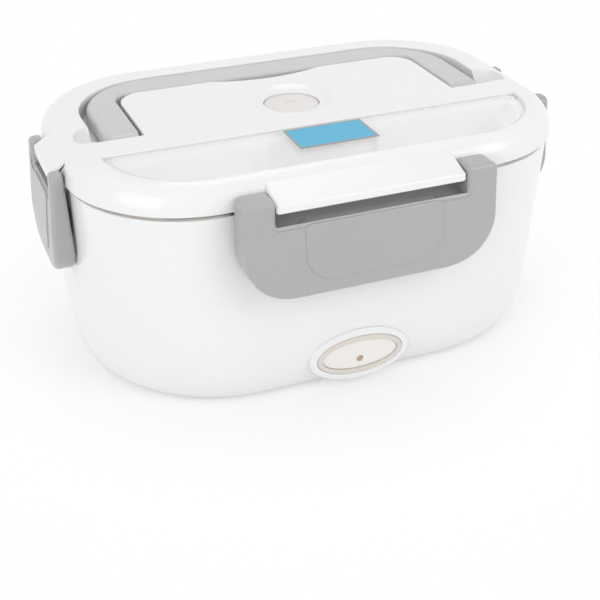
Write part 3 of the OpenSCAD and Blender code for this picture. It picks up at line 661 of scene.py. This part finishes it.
def makeLatch(name, look, turn):
    kind = latchShape
    low, half, inner, stand, wall = look["low"], look["half"], look["inner"], look["stand"], kind["wall"]
    rim, top = look["rim"], kind["top"]
    hingeN = (stand + kind["gap"]) / 2
    hingeZ = top - look["earR"]
    corner, earRound = look["corner"], kind["earRound"]
    made = faced(name, look, half, low, top, corner, earRound, 0, rim, look["rimBack"], latchBack)
    grooveR = math.hypot(stand - hingeN, hingeZ - kind["ledge"])
    groove = xRod("groove", grooveR, -inner, inner, -hingeN, hingeZ, 96)
    combine(made, [slotTool(look, rim), groove], "DIFFERENCE")
    panel, thick = look["panel"], kind["panelT"]
    panelLow, panelHigh = low + kind["panelRise"], kind["ledge"] - kind["panelDrop"]
    radii = (min(kind["panelR"], panel - 1), kind["panelTopR"])
    middle = lambda look, z: stand / 2
    raised = faced("panel", look, panel, panelLow, panelHigh, *radii, thick, thick, 0.1, middle)
    combine(made, [raised], "UNION")
    pocketR = min(corner, kind["pocketTop"] - low - 1.6) - wall
    mouth = look["catch"] + kind["mouthPlay"]
    past = max(0, mouth - half + corner)
    mouthH = corner - math.sqrt((corner - wall) ** 2 - past ** 2) + 1
    outline = latchOutline(half - wall, low + wall, kind["pocketTop"], pocketR, 0.8)
    hollow = [
        upright("pocket", outline, wall - stand, look["back"] + 1, 0),
        block("mouth", (-mouth, -2.8, low - 1), (mouth, look["back"] + 0.4, low + mouthH)),
    ]
    combine(made, hollow, "DIFFERENCE")
    start = (-look["catch"], wall / 2 - stand, kind["shelfTop"] - kind["shelfH"])
    added = [block("shelf", start, (look["catch"], -kind["gap"], kind["shelfTop"]))]
    reach = (kind["stubL"] + 1) / 2
    for x in (reach - inner - 1, inner + 1 - reach):
        added.append(xRod("stub", kind["stubR"], x - reach, x + reach, -hingeN, hingeZ, 32))
    combine(made, added, "UNION")
    soften(made)
    made.data.transform(shift(0, 0, -latchDrop(turn)))
    return onSide(made, turn)


# Lid shell

lidLook = {
    "skin": 2.2, "edgeInset": 9.7, "edgeLift": 0.5, "edgeRings": 20, "rim": 0.9, "trayRim": 0.6,
    "skirtRound": ((1.0, 0), (0.45, 0.12), (0.12, 0.4), (0, 0.8)),
    "linerT": 1.6, "linerDrop": 8.2, "floorT": 2, "gasketT": 1.2,
    "handleIn": 22, "handleBack": 18.2, "handleT": 7.5, "legW": 15.6, "barW": 18, "channelSide": 4,
    "channelBack": 0.7, "channelR": 40, "channelPlay": 0.4, "legGap": 1.2, "barGap": 0.8, "islandR": 12,
    "pivotY": -5, "pivotR": 2.4, "fingerR": 74, "fingerDepth": 5.5, "scoopR": 13, "scoopLift": 4.6,
    "trayY": -30.6, "trayMargin": 9, "coverDrop": 0.3, "coverT": 1.7, "coverGap": 0.4, "ledgeBack": 2.5,
    "wellIn": 9, "barrelR": 2, "barrelIn": 4, "hingeR": 1.25, "hingeL": 6,
    "postX": 28, "postW": 4.2, "postL": 3.4, "ventY": 4.5, "ventR": 19.5, "plugR": 13.2, "plugSeat": 4.6,
    "boreR": 4.0,
    "dish": (
        (9, 2.6), (13.2, 2.4), (15.5, 2.1), (17.2, 1.55), (18.5, 0.85), (19.4, 0.3), (20.1, 0), (20.1, -5),
    ),
}


def bridge(a, y0, y1, r, n=20):
    right = [(a, y0)] + arc(r, (a - r, y1 - r), 0, 90, n)
    return right + [(-x, y) for x, y in right[::-1]]


# Half of a stadium with its straight edge at the back
def halfStadium(a, y0, yc, r, n=32):
    right = ([(a + r, y0)] if y0 > yc else []) + arc(r, (a, yc), 0, -90, n)
    return right + [(-x, y) for x, y in right[::-1]]


trayA = halfL - cornerR
trayR = halfW - lidLook["trayMargin"] + lidLook["trayY"]
handleA = halfL - lidLook["handleIn"]
handleY = halfW - lidLook["handleBack"]
handleBottom = topZ - 0.1 - lidLook["handleT"]
knuckleR = lidLook["handleT"] - 0.1
pivotZ = topZ - 0.1 - knuckleR
islandA = handleA - lidLook["legW"] - lidLook["legGap"]
channelFront = lidLook["pivotY"] - knuckleR - 0.5
barrelHalf = trayA + trayR - lidLook["barrelIn"]
barrelY = lidLook["trayY"] - lidLook["barrelR"] - 0.1
barrelZ = topZ - lidLook["coverDrop"] - lidLook["barrelR"]
gasketTop = skirtZ + lidLook["gasketT"]
linerFlange = gasketTop + lidLook["linerT"]
linerFloor = boxRim - lidLook["linerDrop"]


def trayShape(look, front, back):
    behind = min(back, 0)
    return halfStadium(trayA, look["trayY"] + back, look["trayY"] + behind, trayR + front + behind)


# The island between the handle's legs, with the finger dip in its back
def islandOutline(look, front):
    y, r, dipR = handleY - look["barW"] - look["barGap"], look["islandR"], look["fingerR"]
    dip = y + dipR - look["fingerDepth"]
    start = math.degrees(math.asin((y - dip) / dipR))
    right = [(islandA, front)] + arc(r, (islandA - r, y - r), 0, 90, 16) + arc(dipR, (0, dip), start, -90, 24)
    return right + [(-x, y) for x, y in right[::-1][1:]]


def channelTool(look, grow, low, high, rim=0):
    a, y = handleA + look["channelSide"], handleY + look["channelBack"]
    outer = insetLoop(bridge(a, channelFront, y, look["channelR"], 32), -grow)
    inner = insetLoop(islandOutline(look, channelFront - 20), grow)
    if rim:
        channel = flared("channel", outer, low, topZ, rim)
        island = flared("island", inner, low - 1, topZ, rim, -1)
    else:
        channel = prism("channel", outer, low, high)
        island = prism("island", inner, low - 1, high + 1)
    return combine(channel, [island], "DIFFERENCE")


def knuckleWells(look, grow, high, rim=0):
    low = pivotZ - knuckleR - 0.6 - grow
    front = channelFront - grow
    back = front + 2 * knuckleR + 3 + 2 * grow
    a0, a1 = islandA - grow, handleA + look["channelSide"] + grow
    made = []
    for s in (-1, 1):
        outline = [(s * a0, front), (s * a1, front), (s * a1, back), (s * a0, back)]
        made.append(flared("well", outline, low, topZ, rim) if rim else prism("well", outline, low, high))
    return made


# Finger scoops beside the handle's hinge ends
def scoopTools(look, grow, high):
    made = []
    for s in (-1, 1):
        centre = (s * (handleA + 1), look["pivotY"] - 1, topZ + look["scoopLift"])
        reach = ball("scoop", look["scoopR"] + grow, centre, 96)
        x = s * (handleA + 11)
        keep = block("keep", (x - 12, channelFront - grow, topZ - 20), (x + 12, 30, high))
        made.append(combine(reach, [keep], "INTERSECT"))
    return made


# A prism along X whose outline is drawn in outward and upward coordinates
def sideProfile(name, outline, half, rim=0, rimHigh=None):
    made = pillow(name, [(-n, z) for n, z in outline], 0, 2 * half, rim, rim if rimHigh is None else rimHigh)
    made.data.transform(Matrix(((0, 0, 1, -half * mm), (1, 0, 0, 0), (0, 1, 0, 0), (0, 0, 0, 1))))
    tidyNormals(made)
    return made


# The tab that a latch hangs on, drawn against a side at y = 0
def latchTab(look, turn):
    inner = look["inner"] - 0.4
    drop = latchDrop(turn)
    hingeZ = latchShape["top"] - look["earR"] - drop
    reach = look["stand"] - 1.2
    low = skirtZ + 1.2
    face = hingeZ + 1.3
    back = [(-4.4, topZ - 4), (-1.8, topZ - 8.5), (-1.8, low), (1, low - drop)]
    lip = arc(0.6, (reach - 0.6, low - drop + 0.6), -90, 0, 4) + arc(1.2, (reach - 1.2, face - 0.9), 0, 62, 5)
    profile = back + lip + [(-3.2, topZ - 3.3)]
    made = sideProfile("tab", profile, inner, latchShape["tabRound"])
    middle = (look["stand"] + latchShape["gap"]) / 2
    ends = [xRod("bore", 1.15, s * inner - 3.5, s * inner + 3.5, -middle, hingeZ, 32) for s in (-1, 1)]
    combine(made, ends, "DIFFERENCE")
    return onSide(made, turn)


def makeLid(look):
    skin, edge = look["skin"], look["edgeInset"]
    lidTop = topZ - skirtZ - look["edgeLift"]
    fillTop = topZ - skin + 0.2
    outer = [insetRing(d, skirtZ + up) for d, up in look["skirtRound"]]
    for t in quarter(look["edgeRings"]):
        outer.append(insetRing(edge * (1 - math.cos(t)), topZ - lidTop * (1 - math.sin(t))))
    inner = [insetRing(skin, skirtZ)]
    for t in quarter(8):
        z = topZ - lidTop + (lidTop - skin) * math.sin(t)
        inner.append(insetRing(skin + edge * (1 - math.cos(t)), z))
    made = loft("lidShell", inner[::-1] + outer, 40)
    deep, well, bore = linerFloor + look["linerT"], -look["wellIn"], look["boreR"]
    floorZ, ledge = deep + look["floorT"], look["ledgeBack"]
    seat, vent = topZ - look["plugSeat"], (0, look["ventY"])
    pivotY, pivotR = look["pivotY"], look["pivotR"]
    under = trayShape(look, well + look["floorT"], look["floorT"] - ledge)
    parts = [
        prism("trayBox", trayShape(look, skin, skin), linerFlange, fillTop),
        channelTool(look, 2, linerFlange, fillTop),
        prism("trayFloor", under, deep, linerFlange + 1),
        rod("ventBox", look["ventR"] + 2, vent + (seat - 2,), vent + (fillTop,), 96),
        rod("ventTube", bore + 2.4, vent + (deep,), vent + (seat,), 64),
    ]
    parts += [latchTab(latchLooks[kind], turn) for kind, turn in latches.values()]
    parts += knuckleWells(look, 2, fillTop) + scoopTools(look, 2, fillTop)
    for x in (4 - islandA, islandA - 4):
        parts.append(xRod("boss", pivotR + 2.6, x - 3.5, x + 3.5, pivotY, pivotZ))
    combine(made, parts, "UNION")
    coverSeat = topZ - look["coverDrop"] - look["coverT"] - 0.1
    rim = trayShape(look, look["coverGap"], look["coverGap"])
    reach, high = barrelHalf + 0.5, topZ + 5
    far = reach + look["hingeL"]
    cuts = [
        flared("coverSeat", rim, coverSeat, topZ, look["trayRim"]),
        prism("trayStep", trayShape(look, -ledge, -ledge), linerFlange + look["floorT"], high),
        prism("trayWell", trayShape(look, well, -ledge), floorZ, high),
        xRod("barrel", look["barrelR"] + 0.4, -reach, reach, barrelY, barrelZ),
        xRod("hinge", look["hingeR"], -far, far, barrelY, barrelZ),
        channelTool(look, 0, handleBottom - look["channelPlay"], high, look["rim"]),
        turned("dish", vent, [(r, topZ - d) for r, d in look["dish"]], 128),
        rod("plugSeat", look["plugR"], vent + (seat,), vent + (high,), 96),
        rod("bore", bore, vent + (linerFloor,), vent + (high,), 64),
    ]
    cuts += knuckleWells(look, 0, high, look["rim"]) + scoopTools(look, 0, high + 10)
    for x in (-islandA, islandA):
        cuts.append(xRod("pivot", pivotR + 0.05, x - 5, x + 5, pivotY, pivotZ))
    combine(made, cuts, "DIFFERENCE")
    y, half, top = look["trayY"] - ledge - look["postL"], look["postW"] / 2, barrelZ - look["barrelR"] - 0.5
    posts = [
        block("post", (x - half, y, floorZ - 1), (x + half, y + look["postL"] + 1, top))
        for x in (-look["postX"], look["postX"])
    ]
    combine(made, posts, "UNION")
    soften(made, smooth=50)
    return standIn(made, "lid_shell", "lid", "whiteShell")


makeLid(lidLook)
print("lid ready")


for side, (kind, turn) in latches.items():
    latch = makeLatch("latch" + side.capitalize(), latchLooks[kind], turn)
    standIn(latch, "latch_" + side, side + "_latch", "latchGrey")
print("latches ready")


# Handle: a flat bail with a large round along its outer edge

handleLook = {
    "outerR": 34, "innerR": 8.5, "round": 3.8, "under": 1.6, "lip": 1.4, "knuckleRound": 1.3, "pivotL": 5,
}


def makeHandle(look):
    legW, y0, lip = lidLook["legW"], lidLook["pivotY"], look["lip"]
    bottom, top = handleBottom, handleBottom + lidLook["handleT"]
    rows = roundRows(bottom, top, look["under"], look["round"], 8)
    rings = [atHeight(bridge(handleA - d, y0, handleY - d, look["outerR"] - d, 32), z) for d, z in rows]
    made = tower("handleBail", rings)
    a, y = handleA - legW, handleY - lidLook["barW"]
    rows = [(lip, bottom - 1)] + roundRows(bottom, top, lip, lip) + [(lip, top + 1)]
    rings = [atHeight(bridge(a + d, y0 - 3, y + d, look["innerR"] + d, 24), z) for d, z in rows]
    combine(made, [tower("eye", rings)], "DIFFERENCE")
    knob = [(y - y0, z + pivotZ) for y, z in oval(knuckleR, knuckleR)]
    half = look["pivotL"] / 2
    parts = []
    for s in (-1, 1):
        rims = (look["round"], look["knuckleRound"])[::-s]
        knuckle = sideProfile("knuckle", knob, legW / 2, *rims)
        knuckle.data.transform(shift(s * (handleA - legW / 2), 0, 0))
        x = s * (handleA - legW - half + 1)
        parts += [knuckle, xRod("pivot", lidLook["pivotR"], x - half, x + half, y0, pivotZ)]
    combine(made, parts, "UNION")
    soften(made, smooth=45)
    return standIn(made, "handle", "carry_handle", "handleGrey")


makeHandle(handleLook)
print("handle ready")


# Tray cover and its label

coverLook = {"back": 2.5, "rim": 0.5, "under": 0.3, "barrelR": 1.95, "stubR": 1.2, "stubL": 6}


def makeCover(look):
    top = topZ - lidLook["coverDrop"]
    under = top - lidLook["coverT"]
    plate = pillow("trayCover", trayShape(lidLook, 0, -look["back"]), under, top, look["under"], look["rim"])
    half, reach = barrelHalf, barrelHalf + look["stubL"] - 0.5
    hinge = [
        xRod("barrel", look["barrelR"], -half, half, barrelY, barrelZ),
        xRod("stubs", look["stubR"], -reach, reach, barrelY, barrelZ),
        block("web", (-half, barrelY - lidLook["barrelR"] - 1, under), (half, barrelY, top)),
    ]
    combine(plate, hinge, "UNION")
    soften(plate, smooth=45)
    standIn(plate, "tray_cover", "tray_lid", "trayClear")
    plate.visible_shadow = plate.visible_diffuse = False


labelLook = {"length": 36.5, "width": 21.5, "thick": 0.2, "border": 1.3, "back": 2}


def makeLabel(look):
    low = topZ - lidLook["coverDrop"]
    y1 = lidLook["trayY"] - look["back"]
    half = look["length"] / 2
    made = block("label", (-half, y1 - look["width"], low), (half, y1, low + look["thick"]))
    work = bmesh.new()
    work.from_mesh(made.data)
    top = max(work.faces, key=lambda face: face.calc_center_median().z)
    bmesh.ops.inset_region(work, faces=[top], thickness=look["border"] * mm)
    inner = top.index
    work.to_mesh(made.data)
    work.free()
    standIn(made, "label", "tray_lid", "labelGrey")
    made.data.materials.append(paint["labelBlue"])
    made.data.polygons[inner].material_index = 1


makeCover(coverLook)
makeLabel(labelLook)
print("tray cover ready")


# Vent plug, turned round its own axis

ventLook = {
    "discR": 13, "stemR": 3.92, "stemLow": 89.4, "edge": 1.1, "crown": 1.5,
    "slitL": 6, "slitW": 0.7, "slitT": 0.8,
}


def makePlug(look):
    seat = topZ - lidLook["plugSeat"]
    r, stem, low = look["discR"], look["stemR"], look["stemLow"]
    profile = [(stem - 0.8, low), (stem, low + 0.8), (stem, seat - 0.4), (stem + 0.4, seat), (r - 0.3, seat)]
    rim, crown = seat + look["edge"], look["crown"]
    profile += [(r, seat + 0.3), (r, rim)]
    profile += [(r * math.cos(t) ** 0.7, rim + crown * math.sin(t)) for t in quarter(12)[1:12]]
    top = rim + crown
    profile.append((0.05, top))
    y = lidLook["ventY"]
    made = turned("ventPlug", (0, y), profile)
    half, w = look["slitL"] / 2, look["slitW"] / 2
    slits = [
        block("slit", (-half, y - w, top - look["slitT"]), (half, y + w, top + 1)),
        block("split", (0, y - 1, low - 1), (stem + 1, y + 1, seat - 2)),
    ]
    combine(made, slits, "DIFFERENCE")
    soften(made, smooth=50)
    return standIn(made, "vent_plug", "vent", "ventSilicone")


makePlug(ventLook)
print("vent ready")


# Badge: a ring round a window with a hole for the lamp

badgeLook = {
    "ringW": 2.4, "depth": 2.8, "proud": 0.4, "rim": 0.5, "sink": 0.2, "play": 0.1, "paneRim": 0.3,
    "lampZ": 13.4, "lampR": 1.7,
}


def makeBadge(look):
    a, b, z, face = bodyLook["badgeA"], bodyLook["badgeB"], bodyLook["bossZ"], bodyLook["bossFace"]
    w = look["ringW"]
    ring = upright("badgeRing", oval(a, b), -face - look["proud"], -face + look["depth"], z, look["rim"])
    combine(ring, [upright("hole", oval(a - w, b - w), -face - 2, -face + 5, z)], "DIFFERENCE")
    soften(ring)
    standIn(ring, "badge_ring", "base", "badgeBeige")
    less, r = w + look["play"], look["lampR"]
    outline = oval(a - less, b - less)
    pane = upright("badgeWindow", outline, -face + look["sink"], -face + look["depth"], z, look["paneRim"])
    combine(pane, [upright("lampHole", oval(r, r, 32), -face - 2, -face + 5, look["lampZ"])], "DIFFERENCE")
    soften(pane)
    standIn(pane, "badge_window", "base", "badgePale")


makeBadge(badgeLook)
print("badge ready")


# Nested pressed and moulded shells, as lofts

nestLook = {
    "panFloor": 22, "panIn": 7, "draft": 4, "fillet": 14, "nestGap": 0.8, "floorGap": 0.4, "linerPlay": 2.4,
    "studX": 40, "studR": 2, "studLow": 12, "flangeStep": 0.4,
}


def panRing(look, z, inset):
    lean = look["draft"] * (shape["bodyH"] - z) / (shape["bodyH"] - look["panFloor"])
    return insetRing(look["panIn"] + lean + inset, z)


def panSide(look, floorZ, top, inset, n=10):
    r = look["fillet"] - inset
    rows = [(floorZ + r * (1 - math.sin(t)), inset + r * (1 - math.cos(t))) for t in quarter(n)[::-1]]
    return [panRing(look, z, d) for z, d in rows] + [panRing(look, top, inset)]


# A pressed steel shell with a flange round its rim
def pressed(name, look, floorZ, rim, inset, flange):
    sheet = shape["sheet"]
    outside = panSide(look, floorZ, rim, inset) + [insetRing(flange, rim), insetRing(flange, rim + sheet)]
    return loft(name, outside + panSide(look, floorZ + sheet, rim + sheet, inset + sheet)[::-1])


def makeNest(look):
    sheet, skin, floorZ = shape["sheet"], lidLook["linerT"], look["panFloor"]
    flange = shape["rimStep"] + look["flangeStep"]
    pan = pressed("heatingPan", look, floorZ, shape["bodyH"], 0, flange)
    low, high, x = look["studLow"], floorZ + sheet / 2, look["studX"]
    combine(pan, [rod("stud", look["studR"], (s * x, 0, low), (s * x, 0, high)) for s in (-1, 1)], "UNION")
    soften(pan)
    standIn(pan, "heating_pan", "base", "panSteelSeamShade")
    flange += look["flangeStep"]
    inset = sheet + look["nestGap"]
    box = pressed("foodContainer", look, floorZ + sheet + look["floorGap"], panRim, inset, flange)
    soften(box)
    standIn(box, "food_container", "container", "panSteelSeamShade")
    inside = look["panIn"] + sheet + inset + look["linerPlay"]
    step = lidLook["skin"] + 0.6
    rows = [
        (inside + 2, linerFloor), (inside + 0.6, linerFloor + 0.6), (inside, linerFloor + 2),
        (inside, gasketTop), (step, gasketTop), (step, linerFlange),
        (inside + skin, linerFlange), (inside + skin, linerFloor + skin),
    ]
    liner = loft("lidLiner", [insetRing(d, z) for d, z in rows])
    vent = (0, lidLook["ventY"])
    bore = rod("bore", lidLook["boreR"], vent + (linerFloor - 1,), vent + (linerFlange + 1,), 64)
    combine(liner, [bore], "DIFFERENCE")
    soften(liner)
    standIn(liner, "lid_liner", "lid", "whiteInner")
    near, far, middle = flange + 1, inside - 1.4, (skirtZ + gasketTop) / 2
    rows = [(far, skirtZ), (near + 1, skirtZ), (near, middle), (near, gasketTop), (far, gasketTop)]
    gasket = loft("gasketSeal", [insetRing(d, z) for d, z in rows], 24, True)
    soften(gasket)
    standIn(gasket, "gasket", "lid", "gasketSilicone")


makeNest(nestLook)
print("shells ready")


# Repeated pieces: one geometry tree puts copies of a piece on the points of a mesh

def copyTree():
    tree = bpy.data.node_groups.new("copies", "GeometryNodeTree")
    sockets = {"Spots": "NodeSocketGeometry", "Piece": "NodeSocketObject", "Paint": "NodeSocketMaterial"}
    for name, kind in sockets.items():
        tree.interface.new_socket(name, in_out="INPUT", socket_type=kind)
    tree.interface.new_socket("Copies", in_out="OUTPUT", socket_type="NodeSocketGeometry")
    start, end = tree.nodes.new("NodeGroupInput"), tree.nodes.new("NodeGroupOutput")
    piece, copies = tree.nodes.new("GeometryNodeObjectInfo"), tree.nodes.new("GeometryNodeInstanceOnPoints")
    real, coat = tree.nodes.new("GeometryNodeRealizeInstances"), tree.nodes.new("GeometryNodeSetMaterial")
    for source, target in (
        (start.outputs["Spots"], copies.inputs["Points"]), (start.outputs["Piece"], piece.inputs["Object"]),
        (piece.outputs["Geometry"], copies.inputs["Instance"]), (copies.outputs[0], real.inputs[0]),
        (real.outputs[0], coat.inputs["Geometry"]), (start.outputs["Paint"], coat.inputs["Material"]),
        (coat.outputs[0], end.inputs[0]),
    ):
        tree.links.new(source, target)
    return tree


copyNodes = copyTree()


def copies(name, piece, spots, material):
    made = meshObject(name, spots, [])
    step = made.modifiers.new("copies", "NODES")
    step.node_group = copyNodes
    keys = {item.name: item.identifier for item in copyNodes.interface.items_tree if item.in_out == "INPUT"}
    step[keys["Piece"]] = piece
    step[keys["Paint"]] = paint[material]
    bake(made)
    bpy.data.objects.remove(piece)
    return made


repeats = {
    "footR": 6, "footH": 1.7, "footBevel": 0.4, "footX": 70.4, "footY": 30.4,
    "headR": 2.8, "headT": 0.9, "screwR": 1.45, "screwL": 9.4, "crossL": 3.6, "crossW": 0.6,
    "screwX": 62.4, "screwY": 45.4,
}


def corners(x, y, z):
    return [(sx * x, sy * y, z) for sx in (-1, 1) for sy in (-1, 1)]


# A screw that stands on its head, with a cross recess below
def screw(look):
    r, h, shankR, length = look["headR"], look["headT"], look["screwR"], look["screwL"]
    profile = [(r - 0.5, 0), (r, 0.4), (r, h), (shankR, h), (shankR, length), (shankR - 0.6, length + 0.8)]
    made = turned("screw", (0, 0), profile, 48)
    half, w = look["crossL"] / 2, look["crossW"] / 2
    cuts = [block("cross", (-half, -w, -1), (half, w, w)), block("cross", (-w, -half, -1), (w, half, w))]
    combine(made, cuts, "DIFFERENCE")
    return soften(made, smooth=35)


def makeRepeats(look):
    r, h, bevel = look["footR"], look["footH"], look["footBevel"]
    foot = turned("foot", (0, 0), [(r - bevel, 0), (r - 0.1, bevel * 0.4), (r, bevel), (r, h)], 64)
    spots = corners(look["footX"], look["footY"], 0)
    feet = copies("rubberFeet", soften(foot, smooth=60), spots, "footRubber")
    standIn(feet, "feet", "base", "footRubber")
    spots = corners(look["screwX"], look["screwY"], bodyLook["footH"] + 0.1)
    screws = copies("coverScrews", screw(look), spots, "screwSteel")
    standIn(screws, "cover_screws", "base", "screwSteel")


makeRepeats(repeats)
print("repeated pieces ready")


# Nodes that show the CAD mesh itself, each with its material
plain = {
    "bottom_cover": "whiteInner", "heater_plate": "heaterAlloy", "clamp_bar": "bracketSteel",
    "clamp_nuts": "nutBrass", "thermostat": "thermostatBlack", "thermal_fuse": "fuseCeramic",
    "led_board": "boardGreen", "led": "lampResin",
    "inlet_housing": "inletBlack", "inlet_pins": "pinBrass", "inlet_screws": "screwSteel",
}
for node, material in plain.items():
    slots = nodes[node].material_slots
    if slots:
        for slot in slots:
            slot.material = paint[material]
    else:
        nodes[node].data.materials.append(paint[material])
print("plain nodes painted")


# Floor, world and lamps

stage = {
    "floorHalf": 4000, "floorWhite": 0.98, "nearGlow": 0.45, "near": 0.1, "far": 0.21,
    "skyLight": 0.8, "backdrop": 1.0, "lampAim": (0, 0, 0.05),
}


# 1 for what the camera sees directly, in a gloss or through a clear piece, else 0
def seenRays(start):
    kinds = ("Is Camera Ray", "Is Glossy Ray", "Is Transmission Ray")
    camera, gloss, through = [start.node("ShaderNodeLightPath", out=kind) for kind in kinds]
    return (camera + gloss + through) > 0.5


# White all the way to the horizon, with the shadow kept near the box
def makeFloor(look):
    half, white = look["floorHalf"], look["floorWhite"]
    points = [(-half, -half, 0), (half, -half, 0), (half, half, 0), (-half, half, 0)]
    floor = meshObject("floor", points, [(0, 1, 2, 3)])
    material, tree, shader = newMaterial("floorWhite")
    start = Value(tree)
    finish(tree, shader, Base_Color=(white, white, white, 1), Roughness=0.9, Specular_IOR_Level=0.0)
    glow = start.node("ShaderNodeEmission", {}, {"Color": (1, 1, 1, 1), "Strength": 1.0})
    out = tree.nodes["Material Output"]
    point = start.node("ShaderNodeTexCoord", out="Object")
    reach = point.node("ShaderNodeVectorMath", {"operation": "LENGTH"}, {0: point}, out=1)
    away = reach.steps(look["near"], look["far"])
    share = seenRays(start) * (look["nearGlow"] + away * (1 - look["nearGlow"]))
    blend = start.node("ShaderNodeMixShader", {}, {0: share, 2: glow})
    tree.links.new(shader.outputs[0], blend.socket.node.inputs[1])
    tree.links.new(blend.socket, out.inputs["Surface"])
    floor.data.materials.append(material)


def makeWorld(look):
    world = bpy.data.worlds.new("studio")
    world.use_nodes = True
    scene.world = world
    tree = world.node_tree
    shown = tree.nodes["Background"]
    strength = look["skyLight"] + seenRays(Value(tree)) * (look["backdrop"] - look["skyLight"])
    tree.links.new(strength.socket, shown.inputs["Strength"])
    shown.inputs["Color"].default_value = (1, 1, 1, 1)


lamps = {
    "keyLamp": {"at": (0.7, -1.0, 0.8), "size": 0.7, "power": 3.7},
    "fillLamp": {"at": (-1.2, -0.7, 0.6), "size": 1.0, "power": 4.6},
    "topLamp": {"at": (0.2, 0.4, 1.6), "size": 0.8, "power": 2.5},
}


def makeLamp(name, look):
    data = bpy.data.lights.new(name, "AREA")
    data.shape = "SQUARE"
    data.size = look["size"]
    data.energy = look["power"]
    lamp = bpy.data.objects.new(name, data)
    lamp.location = look["at"]
    lamp.rotation_euler = (Vector(stage["lampAim"]) - Vector(look["at"])).to_track_quat("-Z", "Y").to_euler()
    scene.collection.objects.link(lamp)


makeFloor(stage)
makeWorld(stage)
for name, look in lamps.items():
    makeLamp(name, look)
print("stage ready")
